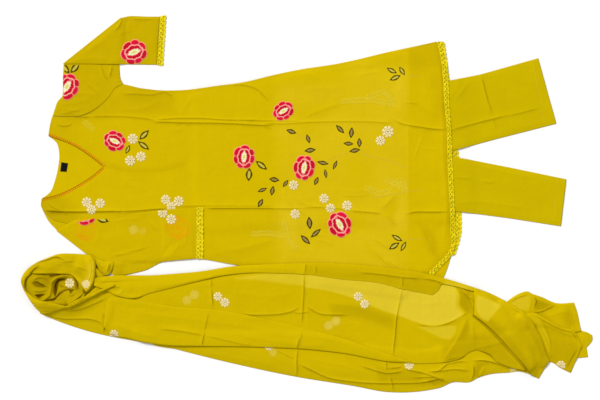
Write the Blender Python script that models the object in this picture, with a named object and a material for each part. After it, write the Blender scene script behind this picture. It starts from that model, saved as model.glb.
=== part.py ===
"""Salwar kameez suit laid flat: kameez, straight trousers and dupatta.

The set lies on a table as it is put out for sale.  The kameez points to the left with
its front up, the trouser legs come out under its hem, and the long dupatta lies rolled
and folded along the near side.  Layout tables are in table centimetres, x to the right
and y away from the near edge; everything is turned into metres about the middle.
"""
import math

import bmesh
import bpy
import numpy as np
from mathutils import Vector
from mathutils.geometry import delaunay_2d_cdt

# ---- driving sizes ---------------------------------------------------------------
CM = 0.01                    # table centimetre in metres
MIDDLE = (82.8, 53.0)        # cm, middle of the set, which becomes the origin
WALL = 0.0011                # one ply of cloth
PLY_GAP = 0.0003             # air between plies and pieces that touch
SEAM = 0.05                  # cm, plan distance between pieces that meet at a seam
TUBE = 2.0 * WALL + PLY_GAP  # a sleeve or leg pressed flat
LABEL_WALL = 0.0010          # woven label
LACE_WALL = 0.0012           # cotton lace
ROLL_EDGE = 0.0022           # hidden dupatta layers at their rim
ROLL_BODY = 0.0048           # hidden dupatta layers, extra depth inside the rim
KNOT_RISE = 0.0130           # hidden layers under the wrapped end of the dupatta
TWIST_RISE = 0.0075          # hidden layers under the twist of the dupatta
CREASE = 0.0024              # height of the largest pressed folds
CELL = 0.004                 # metres, cell of the table height map

# ---- kameez, columns x and y in cm ---------------------------------------------------
NECK_FRONT = [
    (13.1, 71.3), (20.5, 68.3), (25.7, 64.7), (27.8, 63.0), (25.9, 61.3), (21.3, 58.2),
    (15.9, 55.6), (11.3, 54.4),
]
NECK_BACK = [
    (13.1, 71.3), (15.3, 69.4), (16.0, 66.4), (15.7, 62.9), (14.8, 59.1), (13.6, 56.2),
    (11.3, 54.4),
]
SHOULDER_LEFT = [(15.3, 79.2), (14.2, 77.8), (13.5, 74.8)]
SHOULDER_RIGHT = [(11.3, 52.7)]
ARMHOLE_LEFT = [
    (16.3, 79.4), (20.5, 77.1), (24.0, 78.0), (27.5, 79.8), (29.4, 81.3), (31.2, 83.7),
    (33.3, 85.2),
]
ARMHOLE_RIGHT = [
    (11.9, 51.0), (14.3, 48.7), (18.1, 47.7), (22.1, 47.1), (26.2, 45.4), (29.7, 42.4),
    (32.7, 38.5),
]
SIDE_LEFT = [
    (37.8, 84.2), (43.2, 83.6), (50.0, 83.7), (58.6, 84.8), (66.4, 85.9), (72.9, 87.5),
    (81.0, 89.2), (90.7, 90.7), (105.6, 94.1),
]
SIDE_RIGHT = [
    (94.5, 32.1), (81.0, 34.0), (70.2, 35.6), (62.9, 36.6), (54.0, 38.1), (43.2, 38.3),
]
HEM_FRONT = [
    (118.0, 96.7), (118.8, 86.4), (119.6, 78.3), (121.0, 65.9), (121.5, 49.4), (121.6, 40.8),
    (115.6, 34.0), (107.5, 29.7),
]
LACE_FRONT = [
    (115.2, 30.8), (117.2, 32.6), (123.9, 40.8), (123.7, 49.4), (123.1, 62.6), (122.3, 72.9),
    (121.1, 84.0), (120.3, 96.9),
]
HEM_BACK = [
    (117.0, 96.4), (118.2, 86.4), (119.0, 78.3), (120.6, 67.5), (121.5, 56.7), (122.0, 50.8),
    (122.2, 45.9), (122.0, 38.6), (119.6, 32.7), (117.7, 29.6), (107.5, 30.0),
]
LACE_BACK = [
    (122.6, 38.9), (124.1, 42.7), (124.9, 45.9), (124.7, 50.8), (124.1, 56.7), (122.9, 67.5),
    (121.2, 78.3), (120.4, 86.4), (119.3, 96.5),
]
LABEL = [(16.6, 64.2), (18.4, 63.9), (18.0, 61.6), (16.3, 61.7)]

# ---- tubes, one row a station: left edge x, y, right edge x, y in cm ---------------
ARM_LEFT = [(16.9, 83.7, 32.3, 88.0), (17.0, 86.9, 32.1, 92.3), (17.2, 90.7, 32.8, 103.1)]
FORE_LEFT = [
    (17.2, 90.7, 32.8, 103.1), (23.2, 90.7, 35.1, 103.7), (29.2, 90.6, 37.4, 103.6),
    (35.1, 90.6, 39.7, 103.5), (41.3, 90.5, 42.1, 103.4),
]
CUFF_LEFT = [(41.35, 90.5, 42.15, 103.4), (43.7, 90.3, 44.7, 103.8)]
ARM_RIGHT = [(15.4, 45.8, 31.1, 33.6)]
FORE_RIGHT = [
    (15.4, 45.8, 31.1, 33.6), (20.2, 48.0, 33.2, 33.6), (26.2, 49.0, 36.2, 34.2),
    (33.2, 50.0, 39.7, 35.1), (40.2, 50.9, 43.7, 37.3), (46.7, 51.6, 48.3, 37.8),
    (53.2, 51.9, 53.1, 38.2),
]
CUFF_RIGHT = [(53.25, 51.9, 53.15, 38.2), (55.4, 52.0, 55.4, 38.2)]
LEG_LEFT = [
    (145.2, 92.3, 150.0, 74.9), (129.7, 87.9, 133.8, 70.8), (120.7, 86.1, 122.3, 67.6),
    (108.0, 85.3, 108.0, 66.52), (91.8, 85.3, 91.8, 66.52), (58.6, 83.7, 58.6, 66.52),
]
LEG_RIGHT = [
    (152.8, 59.5, 150.8, 47.0), (138.5, 62.6, 138.0, 49.0), (124.7, 65.3, 124.5, 50.8),
    (114.8, 66.2, 114.8, 50.9), (91.8, 66.48, 91.8, 50.2), (58.6, 66.48, 58.6, 48.6),
]
WAIST = [(58.55, 83.7, 58.55, 48.6), (55.4, 83.2, 55.4, 49.1)]

# ---- dupatta, columns x and y in cm ----------------------------------------------------
ROLL = [
    (7.6, 32.4), (9.2, 35.1), (13.0, 37.3), (16.7, 38.1), (23.0, 37.8), (26.2, 35.6),
    (29.2, 32.1), (40.5, 32.1), (54.0, 33.5), (64.8, 34.8), (82.4, 35.4), (99.4, 34.8),
    (114.8, 32.7), (125.6, 29.7), (132.0, 26.7), (135.8, 24.0), (140.4, 20.2), (143.9, 14.9),
    (145.8, 10.8), (144.7, 8.1), (140.4, 9.5), (132.0, 8.6), (126.9, 7.0), (118.8, 5.4),
    (111.5, 4.3), (104.2, 3.8), (95.6, 5.1), (80.5, 7.8), (61.6, 11.9), (46.7, 15.4),
    (34.6, 18.1), (20.8, 21.3), (12.2, 24.6), (9.7, 27.0), (7.8, 30.2),
]
BOTTOM_RUN = [
    (37.8, 18.9), (54.0, 16.7), (80.5, 16.2), (99.4, 13.8), (113.4, 12.4), (126.9, 14.9),
    (135.0, 13.5), (140.4, 11.3), (143.9, 7.6), (143.1, 6.9), (140.4, 7.7), (137.3, 7.4),
    (132.0, 6.9), (128.7, 5.8), (127.3, 5.0), (121.8, 4.7), (119.1, 3.4), (116.9, 2.9),
    (104.4, 2.2), (95.6, 3.8), (80.5, 6.2), (61.6, 10.2), (46.7, 13.9), (34.7, 16.5),
    (27.8, 17.5),
]
MIDDLE_RUN = [
    (30.2, 32.7), (39.9, 33.1), (53.6, 34.3), (64.3, 35.9), (82.4, 36.5), (99.4, 35.8),
    (114.8, 33.8), (125.3, 30.8), (129.6, 28.6), (134.2, 24.8), (138.2, 19.4), (140.9, 14.6),
    (141.5, 11.3), (137.2, 10.8), (132.8, 12.2), (128.7, 13.6), (124.2, 11.2), (119.9, 10.0),
    (106.9, 10.4), (99.4, 12.2), (86.1, 14.2), (71.0, 15.0), (54.0, 15.4), (40.5, 16.5),
    (27.8, 18.1), (15.7, 21.5), (11.3, 23.4), (10.3, 25.7), (18.9, 26.2), (23.0, 28.1),
    (26.5, 30.8),
]
OVER_RUN = [
    (30.2, 28.2), (39.9, 26.6), (46.7, 25.4), (58.9, 24.4), (68.3, 22.7), (81.5, 19.7),
    (95.6, 15.9), (101.2, 13.8), (111.2, 10.4), (106.9, 10.4), (91.8, 12.9), (80.5, 14.0),
    (71.0, 14.4), (54.0, 14.7), (45.4, 14.9), (34.7, 16.7), (29.7, 18.1), (28.1, 20.0),
    (28.6, 23.8), (29.2, 27.0),
]
TOP_RUN = [
    (28.1, 32.7), (33.6, 33.3), (46.7, 34.0), (53.6, 34.7), (64.3, 36.3), (71.0, 36.6),
    (89.2, 37.0), (99.4, 36.3), (106.9, 35.4), (114.8, 34.2), (119.6, 33.0), (125.3, 31.3),
    (128.2, 30.1), (126.9, 27.3), (121.5, 28.9), (108.0, 29.5), (95.6, 31.6), (82.1, 33.3),
    (67.2, 33.9), (61.6, 33.7), (54.0, 31.8), (46.7, 30.2), (35.6, 27.5), (31.9, 28.6),
    (29.2, 30.0),
]
KNOT_FOLDS = [
    (9.2, 33.5), (12.2, 34.6), (16.2, 34.6), (20.2, 33.5), (22.4, 31.1), (22.4, 28.9),
    (20.0, 27.0), (15.7, 26.5), (11.9, 26.7), (9.2, 28.6), (8.1, 30.8),
]
KNOT_BAND = [
    (32.9, 30.1), (29.2, 29.7), (25.7, 27.8), (21.1, 25.8), (17.4, 24.6), (12.2, 23.5),
    (10.0, 25.0), (8.2, 27.8), (6.4, 30.6), (5.8, 32.1), (6.2, 33.8), (9.5, 37.1), (12.3, 38.5),
    (15.7, 39.3), (19.9, 39.4), (24.6, 39.2), (25.8, 37.5), (25.9, 34.6), (25.7, 32.7),
    (24.6, 30.8), (23.7, 29.5), (21.6, 31.6), (19.7, 33.6), (16.7, 34.0), (13.5, 33.9),
    (10.8, 33.8), (8.9, 32.7), (7.8, 31.1), (8.6, 29.3), (10.3, 27.7), (12.4, 26.3),
    (15.7, 26.5), (18.4, 26.7), (21.1, 27.3), (24.8, 28.8), (29.2, 30.8), (32.4, 31.2),
]
KNOT_TAB = [
    (24.2, 37.9), (26.5, 38.9), (27.9, 37.7), (30.9, 37.1), (30.2, 35.4), (29.2, 33.5),
    (26.5, 33.3), (24.4, 34.2),
]
TWIST = [
    (128.3, 29.7), (132.0, 28.4), (136.9, 26.3), (141.0, 23.9), (144.5, 21.9), (146.9, 18.4),
    (148.5, 13.8), (148.9, 10.4), (145.4, 5.7), (143.1, 7.0), (140.4, 10.5), (136.9, 14.3),
    (132.1, 19.4), (127.6, 22.9), (127.7, 26.2),
]
TAIL_UPPER = [
    (133.8, 25.0), (136.6, 26.3), (139.1, 27.8), (142.5, 29.2), (143.8, 28.8), (146.9, 27.4),
    (150.7, 26.0), (154.8, 26.2), (155.4, 25.3), (156.9, 18.6), (154.4, 19.2), (149.9, 21.3),
    (144.5, 21.2), (139.5, 20.2), (135.2, 22.0),
]
TAIL_LOWER = [
    (139.6, 21.6), (142.0, 23.2), (145.2, 23.5), (154.5, 19.2), (156.5, 15.7), (157.2, 13.9),
    (155.8, 10.3), (153.8, 7.4), (149.0, 10.2), (146.2, 10.0), (144.0, 12.4), (142.0, 16.0),
]
TAIL_TIP = [
    (155.5, 18.6), (159.8, 17.6), (159.7, 15.3), (158.3, 13.9), (158.8, 11.7), (156.2, 11.7),
    (154.4, 13.5), (153.9, 16.2),
]

# ---- pressed folds: height in metres, then the line in cm ------------------------------
FRONT_FOLDS = [
    (CREASE, [(17.5, 76.6), (29.2, 76.4), (41.3, 75.5), (54.0, 74.8), (72.6, 73.9),
              (86.4, 74.8), (109.6, 74.5), (117.0, 73.2)]),
    (CREASE, [(15.5, 51.6), (34.0, 50.8), (41.6, 51.6), (52.9, 52.1), (71.3, 52.4),
              (85.1, 51.7), (98.8, 50.9), (104.0, 50.4), (106.7, 48.1)]),
    (0.6 * CREASE, [(77.1, 55.6), (82.6, 50.0)]),
    (0.8 * CREASE, [(98.6, 42.7), (104.6, 36.6)]),
]
MIDDLE_FOLDS = [
    (0.7 * CREASE, [(57.2, 33.0), (55.1, 17.5)]),
    (0.7 * CREASE, [(82.0, 32.5), (80.5, 17.0)]),
    (0.7 * CREASE, [(107.5, 28.5), (105.5, 13.0)]),
]
BOTTOM_FOLDS = [(CREASE, [(82.8, 8.6), (88.1, 6.2), (95.6, 5.0), (110.8, 5.0)])]
KNOT_CREASES = [
    (0.0050, [(10.6, 31.2), (13.0, 32.5), (15.7, 31.4), (16.2, 28.9)]),
    (0.0045, [(19.0, 32.6), (17.9, 30.4), (18.9, 28.4)]),
]

# ---- table height map ------------------------------------------------------------------
MAP_ORIGIN = (-0.86, -0.60)
MAP_CELLS = (430, 300)
height_map = np.zeros(MAP_CELLS)


def metres(x, y):
    """Table centimetres to metres about the middle of the set."""
    return ((x - MIDDLE[0]) * CM, (y - MIDDLE[1]) * CM)


def line_in_metres(rows):
    return [metres(row[0], row[1]) for row in rows]


def cells_of(points):
    spot = (np.asarray(points)[:, :2] - MAP_ORIGIN) / CELL
    spot = np.floor(spot).astype(int)
    return np.clip(spot, 0, np.array(MAP_CELLS) - 1)


def lay_down(points, triangles):
    """Raise the height map to the top of a piece that now lies on the table."""
    points = np.asarray(points, dtype=float)
    triangles = np.asarray(triangles, dtype=int)
    corners = points[triangles]
    sides = np.linalg.norm(corners - np.roll(corners, 1, axis=1), axis=2).max(axis=1)
    parts = np.clip(np.ceil(sides / (0.5 * CELL)).astype(int), 1, 80)
    for count in np.unique(parts):
        chosen = corners[parts == count]
        steps = [(i, j) for i in range(count + 1) for j in range(count + 1 - i)]
        shares = np.array([(i, j, count - i - j) for i, j in steps]) / count
        samples = np.einsum("sk,tkd->tsd", shares, chosen).reshape(-1, 3)
        spot = cells_of(samples)
        np.maximum.at(height_map, (spot[:, 0], spot[:, 1]), samples[:, 2])


def table_height(points, reach):
    """Highest thing on the table within reach of each plan point."""
    cells = int(math.ceil(reach / CELL)) + 1
    wide = height_map.copy()
    for dx in range(-cells, cells + 1):
        span = int(math.sqrt(max(0.0, cells * cells - dx * dx)))
        column = np.zeros(MAP_CELLS)
        lo = max(0, dx)
        hi = min(MAP_CELLS[0], MAP_CELLS[0] + dx)
        column[lo:hi] = height_map[lo - dx:hi - dx]
        best = column.copy()
        width = 1
        while width <= span:
            move = min(width, span + 1 - width)
            left = best.copy()
            left[:, move:] = np.maximum(best[:, move:], best[:, :-move])
            right = left.copy()
            right[:, :-move] = np.maximum(left[:, :-move], left[:, move:])
            best = right
            width += move
        wide = np.maximum(wide, best)
    spot = cells_of(points)
    return wide[spot[:, 0], spot[:, 1]]


def rest_on_table(points, reach):
    """Underside of a new ply: on the table, or a ply gap above what lies there."""
    top = table_height(points, reach)
    return np.where(top > 1e-6, top + PLY_GAP, 0.0)


# ---- plan meshes ------------------------------------------------------------------------
def resample(line, step, closed):
    """Keep every corner and add points so that none are further apart than step."""
    line = [Vector(p) for p in line]
    ends = line[1:] + (line[:1] if closed else [])
    result = []
    for start, end in zip(line, ends):
        count = max(1, math.ceil((end - start).length / step))
        result += [start.lerp(end, i / count) for i in range(count)]
    if not closed:
        result.append(line[-1])
    return np.array([(p.x, p.y) for p in result])


def distance_to_line(points, line, closed):
    """Distance of each point from a polyline."""
    starts = np.asarray(line)
    ends = np.roll(starts, -1, axis=0)
    if not closed:
        starts = starts[:-1]
        ends = ends[:-1]
    along = ends - starts
    offset = points[:, None, :] - starts[None]
    share = (offset * along).sum(axis=2) / np.maximum((along ** 2).sum(axis=1), 1e-12)
    near = starts + np.clip(share, 0, 1)[..., None] * along
    return np.linalg.norm(points[:, None, :] - near, axis=2).min(axis=1)


def inside(points, line):
    """True for the points that lie inside a closed line."""
    x = points[:, 0][:, None]
    y = points[:, 1][:, None]
    ax = line[:, 0]
    ay = line[:, 1]
    bx = np.roll(ax, -1)
    by = np.roll(ay, -1)
    crosses = (ay > y) != (by > y)
    rise = np.where(np.abs(by - ay) < 1e-12, 1e-12, by - ay)
    return (crosses & (x < (bx - ax) * (y - ay) / rise + ax)).sum(axis=1) % 2 == 1


def lattice(line, step):
    """Staggered grid of points well inside a closed line."""
    low = line.min(axis=0)
    high = line.max(axis=0)
    rows = np.arange(low[1], high[1], step * 0.866)
    points = [(x + (i % 2) * step / 2, y) for i, y in enumerate(rows)
              for x in np.arange(low[0], high[0], step)]
    points = np.array(points) if points else np.zeros((0, 2))
    if len(points):
        points = points[inside(points, line)]
    if len(points):
        points = points[distance_to_line(points, line, True) > 0.5 * step]
    return points


def plan_mesh(outline, step, folds=(), fine=None):
    """Triangles of a flat piece: points, triangles, number of border points."""
    border = resample(outline, step, True)
    inner = lattice(border, step)
    if fine:
        low, high, fine_step = fine
        border = np.array([p for start, end in zip(border, np.roll(border, -1, axis=0))
                           for p in split(start, end, low, high, fine_step)])
        extra = lattice(border, fine_step)
        in_box = ((extra > low) & (extra < high)).all(axis=1)
        keep = ((inner < np.array(low) - 0.3 * step)
                | (inner > np.array(high) + 0.3 * step)).any(axis=1)
        inner = np.vstack([inner[keep], extra[in_box]])
    points = [tuple(p) for p in border]
    edges = []
    for _, rows in folds:
        path = resample(line_in_metres(rows), step, False)
        path = path[inside(path, border)]
        path = path[distance_to_line(path, border, True) > 0.3 * step]
        if len(path) > 1 and len(inner):
            inner = inner[distance_to_line(inner, path, False) > 0.45 * step]
        first = len(points)
        points += [tuple(p) for p in path]
        edges += [(first + i, first + i + 1) for i in range(len(path) - 1)]
    points += [tuple(p) for p in inner]
    face = list(range(len(border)))
    flat = [Vector(p) for p in points]
    verts, _, faces, _, _, _ = delaunay_2d_cdt(flat, edges, [face], 1, 1e-6)
    verts = np.array([(v.x, v.y) for v in verts])
    return verts, [list(f) for f in faces], border


def split(start, end, low, high, step):
    """A border edge, divided finer where it lies in the box."""
    middle = (start + end) / 2
    near = ((middle > np.array(low) - step) & (middle < np.array(high) + step)).all()
    count = max(1, math.ceil(np.linalg.norm(end - start) / step)) if near else 1
    return [start + (end - start) * i / count for i in range(count)]


def fold_height(points, folds, width):
    """Pressed folds stand up as low ridges."""
    total = np.zeros(len(points))
    for height, rows in folds:
        path = np.array(line_in_metres(rows))
        away = distance_to_line(points, path, False)
        total = np.maximum(total, height * np.clip(1 - away / width, 0, 1))
    return total


# ---- solids -----------------------------------------------------------------------------
def material(name, colour, roughness):
    made = bpy.data.materials.new(name)
    made.use_nodes = True
    shader = made.node_tree.nodes["Principled BSDF"]
    shader.inputs["Base Color"].default_value = (*colour, 1.0)
    shader.inputs["Roughness"].default_value = roughness
    shader.inputs["Metallic"].default_value = 0.0
    made.diffuse_color = (*colour, 1.0)
    return made


def add_object(name, points, faces, colour, roughness=0.85):
    """A named object from points and faces, with its faces turned outward."""
    work = bmesh.new()
    verts = [work.verts.new(p) for p in points]
    for face in faces:
        work.faces.new([verts[i] for i in face])
    bmesh.ops.recalc_face_normals(work, faces=work.faces)
    if work.calc_volume(signed=True) < 0:
        bmesh.ops.reverse_faces(work, faces=work.faces)
    mesh = bpy.data.meshes.new(name)
    work.to_mesh(mesh)
    work.free()
    mesh.materials.append(material(name + "_cloth", colour, roughness))
    made = bpy.data.objects.new(name, mesh)
    bpy.context.collection.objects.link(made)
    return made


def panel(name, outline, colour, step=0.03, wall=WALL, folds=(), depth=None, lift=None,
          fine=None):
    """One ply laid over whatever is on the table; depth and lift are plan functions."""
    border_line = line_in_metres(outline)
    plan, triangles, border = plan_mesh(border_line, step, folds, fine)
    corners = plan[np.array(triangles)]
    reach = np.linalg.norm(corners - np.roll(corners, 1, axis=1), axis=2).max()
    under = rest_on_table(plan, reach)
    under = under + fold_height(plan, folds, 0.8 * step)
    if lift:
        under = under + lift(plan, distance_to_line(plan, border, True))
    thick = np.full(len(plan), wall)
    if depth:
        thick = depth(plan, distance_to_line(plan, border, True))
    count = len(plan)
    top = np.column_stack([plan, under + thick])
    bottom = np.column_stack([plan, under])
    points = np.vstack([top, bottom])
    faces = [tuple(f) for f in triangles]
    faces += [(c + count, b + count, a + count) for a, b, c in triangles]
    used = {}
    for a, b, c in triangles:
        for edge in ((a, b), (b, c), (c, a)):
            used[edge] = True
    for a, b in list(used):
        if (b, a) not in used:
            faces.append((b, a, a + count))
            faces.append((b, a + count, b + count))
    lay_down(top, triangles)
    return add_object(name, [tuple(p) for p in points], faces, colour)


def columns_between(row, shares):
    left = np.array(metres(row[0], row[1]))
    right = np.array(metres(row[2], row[3]))
    return np.array([left + (right - left) * s for s in shares])


def ring(columns, base, turn=0.0, outward=(0.0, 0.0), flipped=False):
    """Outer and inner loop of a pressed-flat tube at one station.

    columns are plan points from the left edge to the right edge, base the height under
    each.  turn runs from 0 to pi where the tube folds back over itself.
    """
    left = columns[0]
    right = columns[-1]
    across = (columns[1] - left) / np.linalg.norm(columns[1] - left)
    back = (columns[-2] - right) / np.linalg.norm(columns[-2] - right)
    middle = list(columns[1:-1])
    outer_row = [left + 0.0016 * across] + middle + [right + 0.0016 * back]
    inner_row = [left + 0.0030 * across] + middle + [right + 0.0030 * back]
    rise = [base[0]] + list(base[1:-1]) + [base[-1]]

    def place(spot, under, depth):
        if turn:
            radius = TUBE + PLY_GAP / 2 - depth
            flat = np.array(spot) + np.array(outward) * radius * math.sin(turn)
            height = under + TUBE + PLY_GAP / 2 - radius * math.cos(turn)
            return (flat[0], flat[1], height)
        if flipped:
            return (spot[0], spot[1], under + TUBE - depth)
        return (spot[0], spot[1], under + depth)

    def loop(edge_in, row, low, high):
        points = [place(left + across * edge_in, rise[0], TUBE / 2)]
        points += [place(p, u, low) for p, u in zip(row, rise)]
        points.append(place(right + back * edge_in, rise[-1], TUBE / 2))
        points += [place(p, u, high) for p, u in zip(row[::-1], rise[::-1])]
        return points

    outer = loop(0.0, outer_row, 0.0, TUBE)
    inner = loop(0.0018, inner_row, WALL, TUBE - WALL)
    return outer, inner


def wall_triangles(loops, shift=0):
    """Triangles between neighbouring loops of equal length."""
    size = len(loops[0])
    faces = []
    for i in range(len(loops) - 1):
        for j in range(size):
            a = shift + i * size + j
            b = shift + i * size + (j + 1) % size
            c = b + size
            d = a + size
            faces += [(a, b, c), (a, c, d)]
    return faces


def tube(name, rings, colour):
    """Closed body of a tube that is open at both ends."""
    outer = [r[0] for r in rings]
    inner = [r[1] for r in rings]
    size = len(outer[0])
    total = size * len(rings)
    points = [p for loop in outer for p in loop] + [p for loop in inner for p in loop]
    outside = wall_triangles(outer)
    faces = outside + [(c, b, a) for a, b, c in wall_triangles(inner, total)]
    for start, turn_over in ((0, False), (total - size, True)):
        for j in range(size):
            k = (j + 1) % size
            quad = [start + k, start + j, total + start + j, total + start + k]
            if turn_over:
                quad.reverse()
            faces += [(quad[0], quad[1], quad[2]), (quad[0], quad[2], quad[3])]
    lay_down(points, outside)
    return add_object(name, points, faces, colour)


def stations(rows, shares, longest):
    """Plan columns of each station, with more stations where rows are far apart."""
    result = []
    for first, second in zip(rows, rows[1:]):
        a = np.array(first)
        b = np.array(second)
        gap = max(np.linalg.norm(a[:2] - b[:2]), np.linalg.norm(a[2:] - b[2:])) * CM
        count = max(1, math.ceil(gap / longest))
        result += [columns_between(a + (b - a) * i / count, shares) for i in range(count)]
    result.append(columns_between(rows[-1], shares))
    return result


def sleeve(name, armhole, arm_rows, fore_rows, cuff_rows, away):
    """Sleeve from the armhole, folded back over itself along a slanting line, with lace."""
    seam = np.array(line_in_metres(armhole)) + np.array(away) * SEAM * CM
    chord = seam[-1] - seam[0]
    shares = ((seam - seam[0]) @ chord) / (chord @ chord)
    shares[0] = 0.0
    shares[-1] = 1.0
    arm = [seam] + [columns_between(row, shares) for row in arm_rows]
    full = [arm[0]]
    for first, second in zip(arm, arm[1:]):
        full += [(first + second) / 2, second]
    flat = np.zeros(len(shares))
    rings = [ring(columns, flat) for columns in full]
    lay_down([p for r in rings for p in r[0]], wall_triangles([r[0] for r in rings]))
    fold = full[-1]
    line = fold[-1] - fold[0]
    outward = np.array([-line[1], line[0]]) / np.linalg.norm(line)
    if outward @ (fold.mean(axis=0) - seam.mean(axis=0)) < 0:
        outward = -outward
    for quarter in (1, 2, 3):
        rings.append(ring(fold, flat, math.pi * quarter / 4, outward))
    fore = stations(fore_rows, shares, 0.034)
    for number, columns in enumerate(fore):
        base = np.full(len(columns), TUBE + PLY_GAP)
        if number:
            base = rest_on_table(columns, 0.045)
        rings.append(ring(columns, base, flipped=True))
    cuff = [columns_between(row, shares) for row in cuff_rows]
    base = np.maximum(base, rest_on_table(cuff[-1], 0.045))
    lace = [ring(columns, base, flipped=True) for columns in cuff]
    tube(name, rings, KAMEEZ_CLOTH)
    tube(name.replace("sleeve", "sleeve_lace"), lace, LACE_CLOTH)


def leg(name, rows, colour, folds):
    """Trouser leg from hem to waist; folds are ridges along or across its upper ply."""
    shares = np.array([0.0, 0.22, 0.45, 0.68, 0.84, 1.0])
    rings = []
    for columns in stations(rows, shares, 0.11):
        outer, inner = ring(columns, np.zeros(len(columns)))
        raised = fold_height(np.array([p[:2] for p in outer]), folds, 0.02)
        raised_inner = fold_height(np.array([p[:2] for p in inner]), folds, 0.02)
        outer = [(p[0], p[1], p[2] + (h if p[2] > 0.7 * TUBE else 0.0))
                 for p, h in zip(outer, raised)]
        inner = [(p[0], p[1], p[2] + (h if p[2] > 0.53 * TUBE else 0.0))
                 for p, h in zip(inner, raised_inner)]
        rings.append((outer, inner))
    return tube(name, rings, colour)


# ---- depths of the rolled dupatta ---------------------------------------------------------
def smooth(value):
    value = np.clip(value, 0, 1)
    return value * value * (3 - 2 * value)


def roll_depth(plan, away):
    """Hidden layers: thin rim, fuller body, a ring under the knot, a swell in the twist."""
    body = ROLL_EDGE + ROLL_BODY * smooth(away / 0.03)
    centre = np.array(metres(16.2, 31.2))
    spread = (plan - centre) / np.array([0.088, 0.066])
    radius = np.linalg.norm(spread, axis=1)
    knot = KNOT_RISE * np.exp(-((radius - 0.78) / 0.30) ** 2) * smooth(away / 0.014)
    axis = np.array([metres(131.0, 26.0), metres(144.5, 11.5)])
    swell = np.exp(-(distance_to_line(plan, axis, False) / 0.035) ** 2)
    return body + knot + TWIST_RISE * swell * smooth(away / 0.02)


def arch(height, run):
    """A ply that stands up between its edges."""
    return lambda plan, away: height * smooth(away / run)


# ---- the set ------------------------------------------------------------------------------
for old in list(bpy.data.objects):
    bpy.data.objects.remove(old)

KAMEEZ_CLOTH = (0.60, 0.47, 0.004)
TROUSER_CLOTH = (0.56, 0.43, 0.004)
DUPATTA_CLOTH = (0.58, 0.45, 0.006)
LACE_CLOTH = (0.66, 0.52, 0.006)
LABEL_CLOTH = (0.01, 0.01, 0.01)

# trousers lie at the bottom, legs side by side up to the waistband
leg("trouser_leg_left", LEG_LEFT, TROUSER_CLOTH, [(0.0018, [(122.0, 73.2), (133.1, 75.9)])])
leg("trouser_leg_right", LEG_RIGHT, TROUSER_CLOTH, [])
waist = [columns_between(row, np.linspace(0, 1, 9)) for row in WAIST]
tube("trouser_waistband", [ring(columns, np.zeros(9)) for columns in waist], TROUSER_CLOTH)

# kameez back, its lace and the neck label
around_back = (ARMHOLE_LEFT + SIDE_LEFT + HEM_BACK + SIDE_RIGHT + ARMHOLE_RIGHT[::-1]
               + SHOULDER_RIGHT + NECK_BACK[::-1] + SHOULDER_LEFT[::-1])
panel("kameez_back", around_back, KAMEEZ_CLOTH, step=0.042)
hem_line = [(x + SEAM, y) for x, y in HEM_BACK[:8]]
panel("hem_lace_back", hem_line + LACE_BACK, LACE_CLOTH, step=0.03, wall=LACE_WALL)
panel("neck_label", LABEL, LABEL_CLOTH, step=0.03, wall=LABEL_WALL)

# kameez front with its V neck, and its lace round the hem and up the slit
around_front = (ARMHOLE_LEFT + SIDE_LEFT + HEM_FRONT + SIDE_RIGHT + ARMHOLE_RIGHT[::-1]
                + SHOULDER_RIGHT + NECK_FRONT[::-1] + SHOULDER_LEFT[::-1])
panel("kameez_front", around_front, KAMEEZ_CLOTH, step=0.031, folds=FRONT_FOLDS)
hem_line = [(x + SEAM, y - 0.4 * SEAM) for x, y in HEM_FRONT[:7]]
panel("hem_lace_front", hem_line + LACE_FRONT, LACE_CLOTH, step=0.03, wall=LACE_WALL)

# sleeves, each folded back, with lace cuffs
sleeve("sleeve_left", ARMHOLE_LEFT, ARM_LEFT, FORE_LEFT, CUFF_LEFT, (0.0, 1.0))
sleeve("sleeve_right", ARMHOLE_RIGHT, ARM_RIGHT, FORE_RIGHT, CUFF_RIGHT, (-0.7, -0.7))

# dupatta: hidden layers, then each stretch that shows
knot_box = (metres(3.0, 22.5), metres(29.5, 41.0))
knot_fine = (knot_box[0], knot_box[1], 0.016)
panel("dupatta_knot_tab", KNOT_TAB, DUPATTA_CLOTH, step=0.02)
panel("dupatta_inner_layers", ROLL, DUPATTA_CLOTH, step=0.045, depth=roll_depth,
      fine=knot_fine)
panel("dupatta_tail_tip", TAIL_TIP, DUPATTA_CLOTH, step=0.02)
panel("dupatta_tail_upper", TAIL_UPPER, DUPATTA_CLOTH, step=0.024, lift=arch(0.003, 0.03))
panel("dupatta_tail_lower", TAIL_LOWER, DUPATTA_CLOTH, step=0.024, lift=arch(0.004, 0.03))
panel("dupatta_bottom_run", BOTTOM_RUN, DUPATTA_CLOTH, step=0.032, folds=BOTTOM_FOLDS)
panel("dupatta_middle_run", MIDDLE_RUN, DUPATTA_CLOTH, step=0.032, folds=MIDDLE_FOLDS)
panel("dupatta_over_run", OVER_RUN, DUPATTA_CLOTH, step=0.032)
panel("dupatta_top_run", TOP_RUN, DUPATTA_CLOTH, step=0.032)
panel("dupatta_knot_folds", KNOT_FOLDS, DUPATTA_CLOTH, step=0.014, folds=KNOT_CREASES)
panel("dupatta_knot_band", KNOT_BAND, DUPATTA_CLOTH, step=0.016, lift=arch(0.003, 0.02))
panel("dupatta_twist", TWIST, DUPATTA_CLOTH, step=0.022, lift=arch(0.003, 0.03))
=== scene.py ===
"""Salwar kameez suit laid flat: everything that shows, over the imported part.

The set lies on white paper: kameez with its front up, trousers inside it, dupatta rolled
and folded along the near side.  Layout tables are in table millimetres, x to the right
and y away from the near edge; heights and widths of folds are in millimetres too.
"""

import math

import bmesh
import bpy
import numpy as np
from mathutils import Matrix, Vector
from mathutils.bvhtree import BVHTree
from mathutils.geometry import delaunay_2d_cdt


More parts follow.
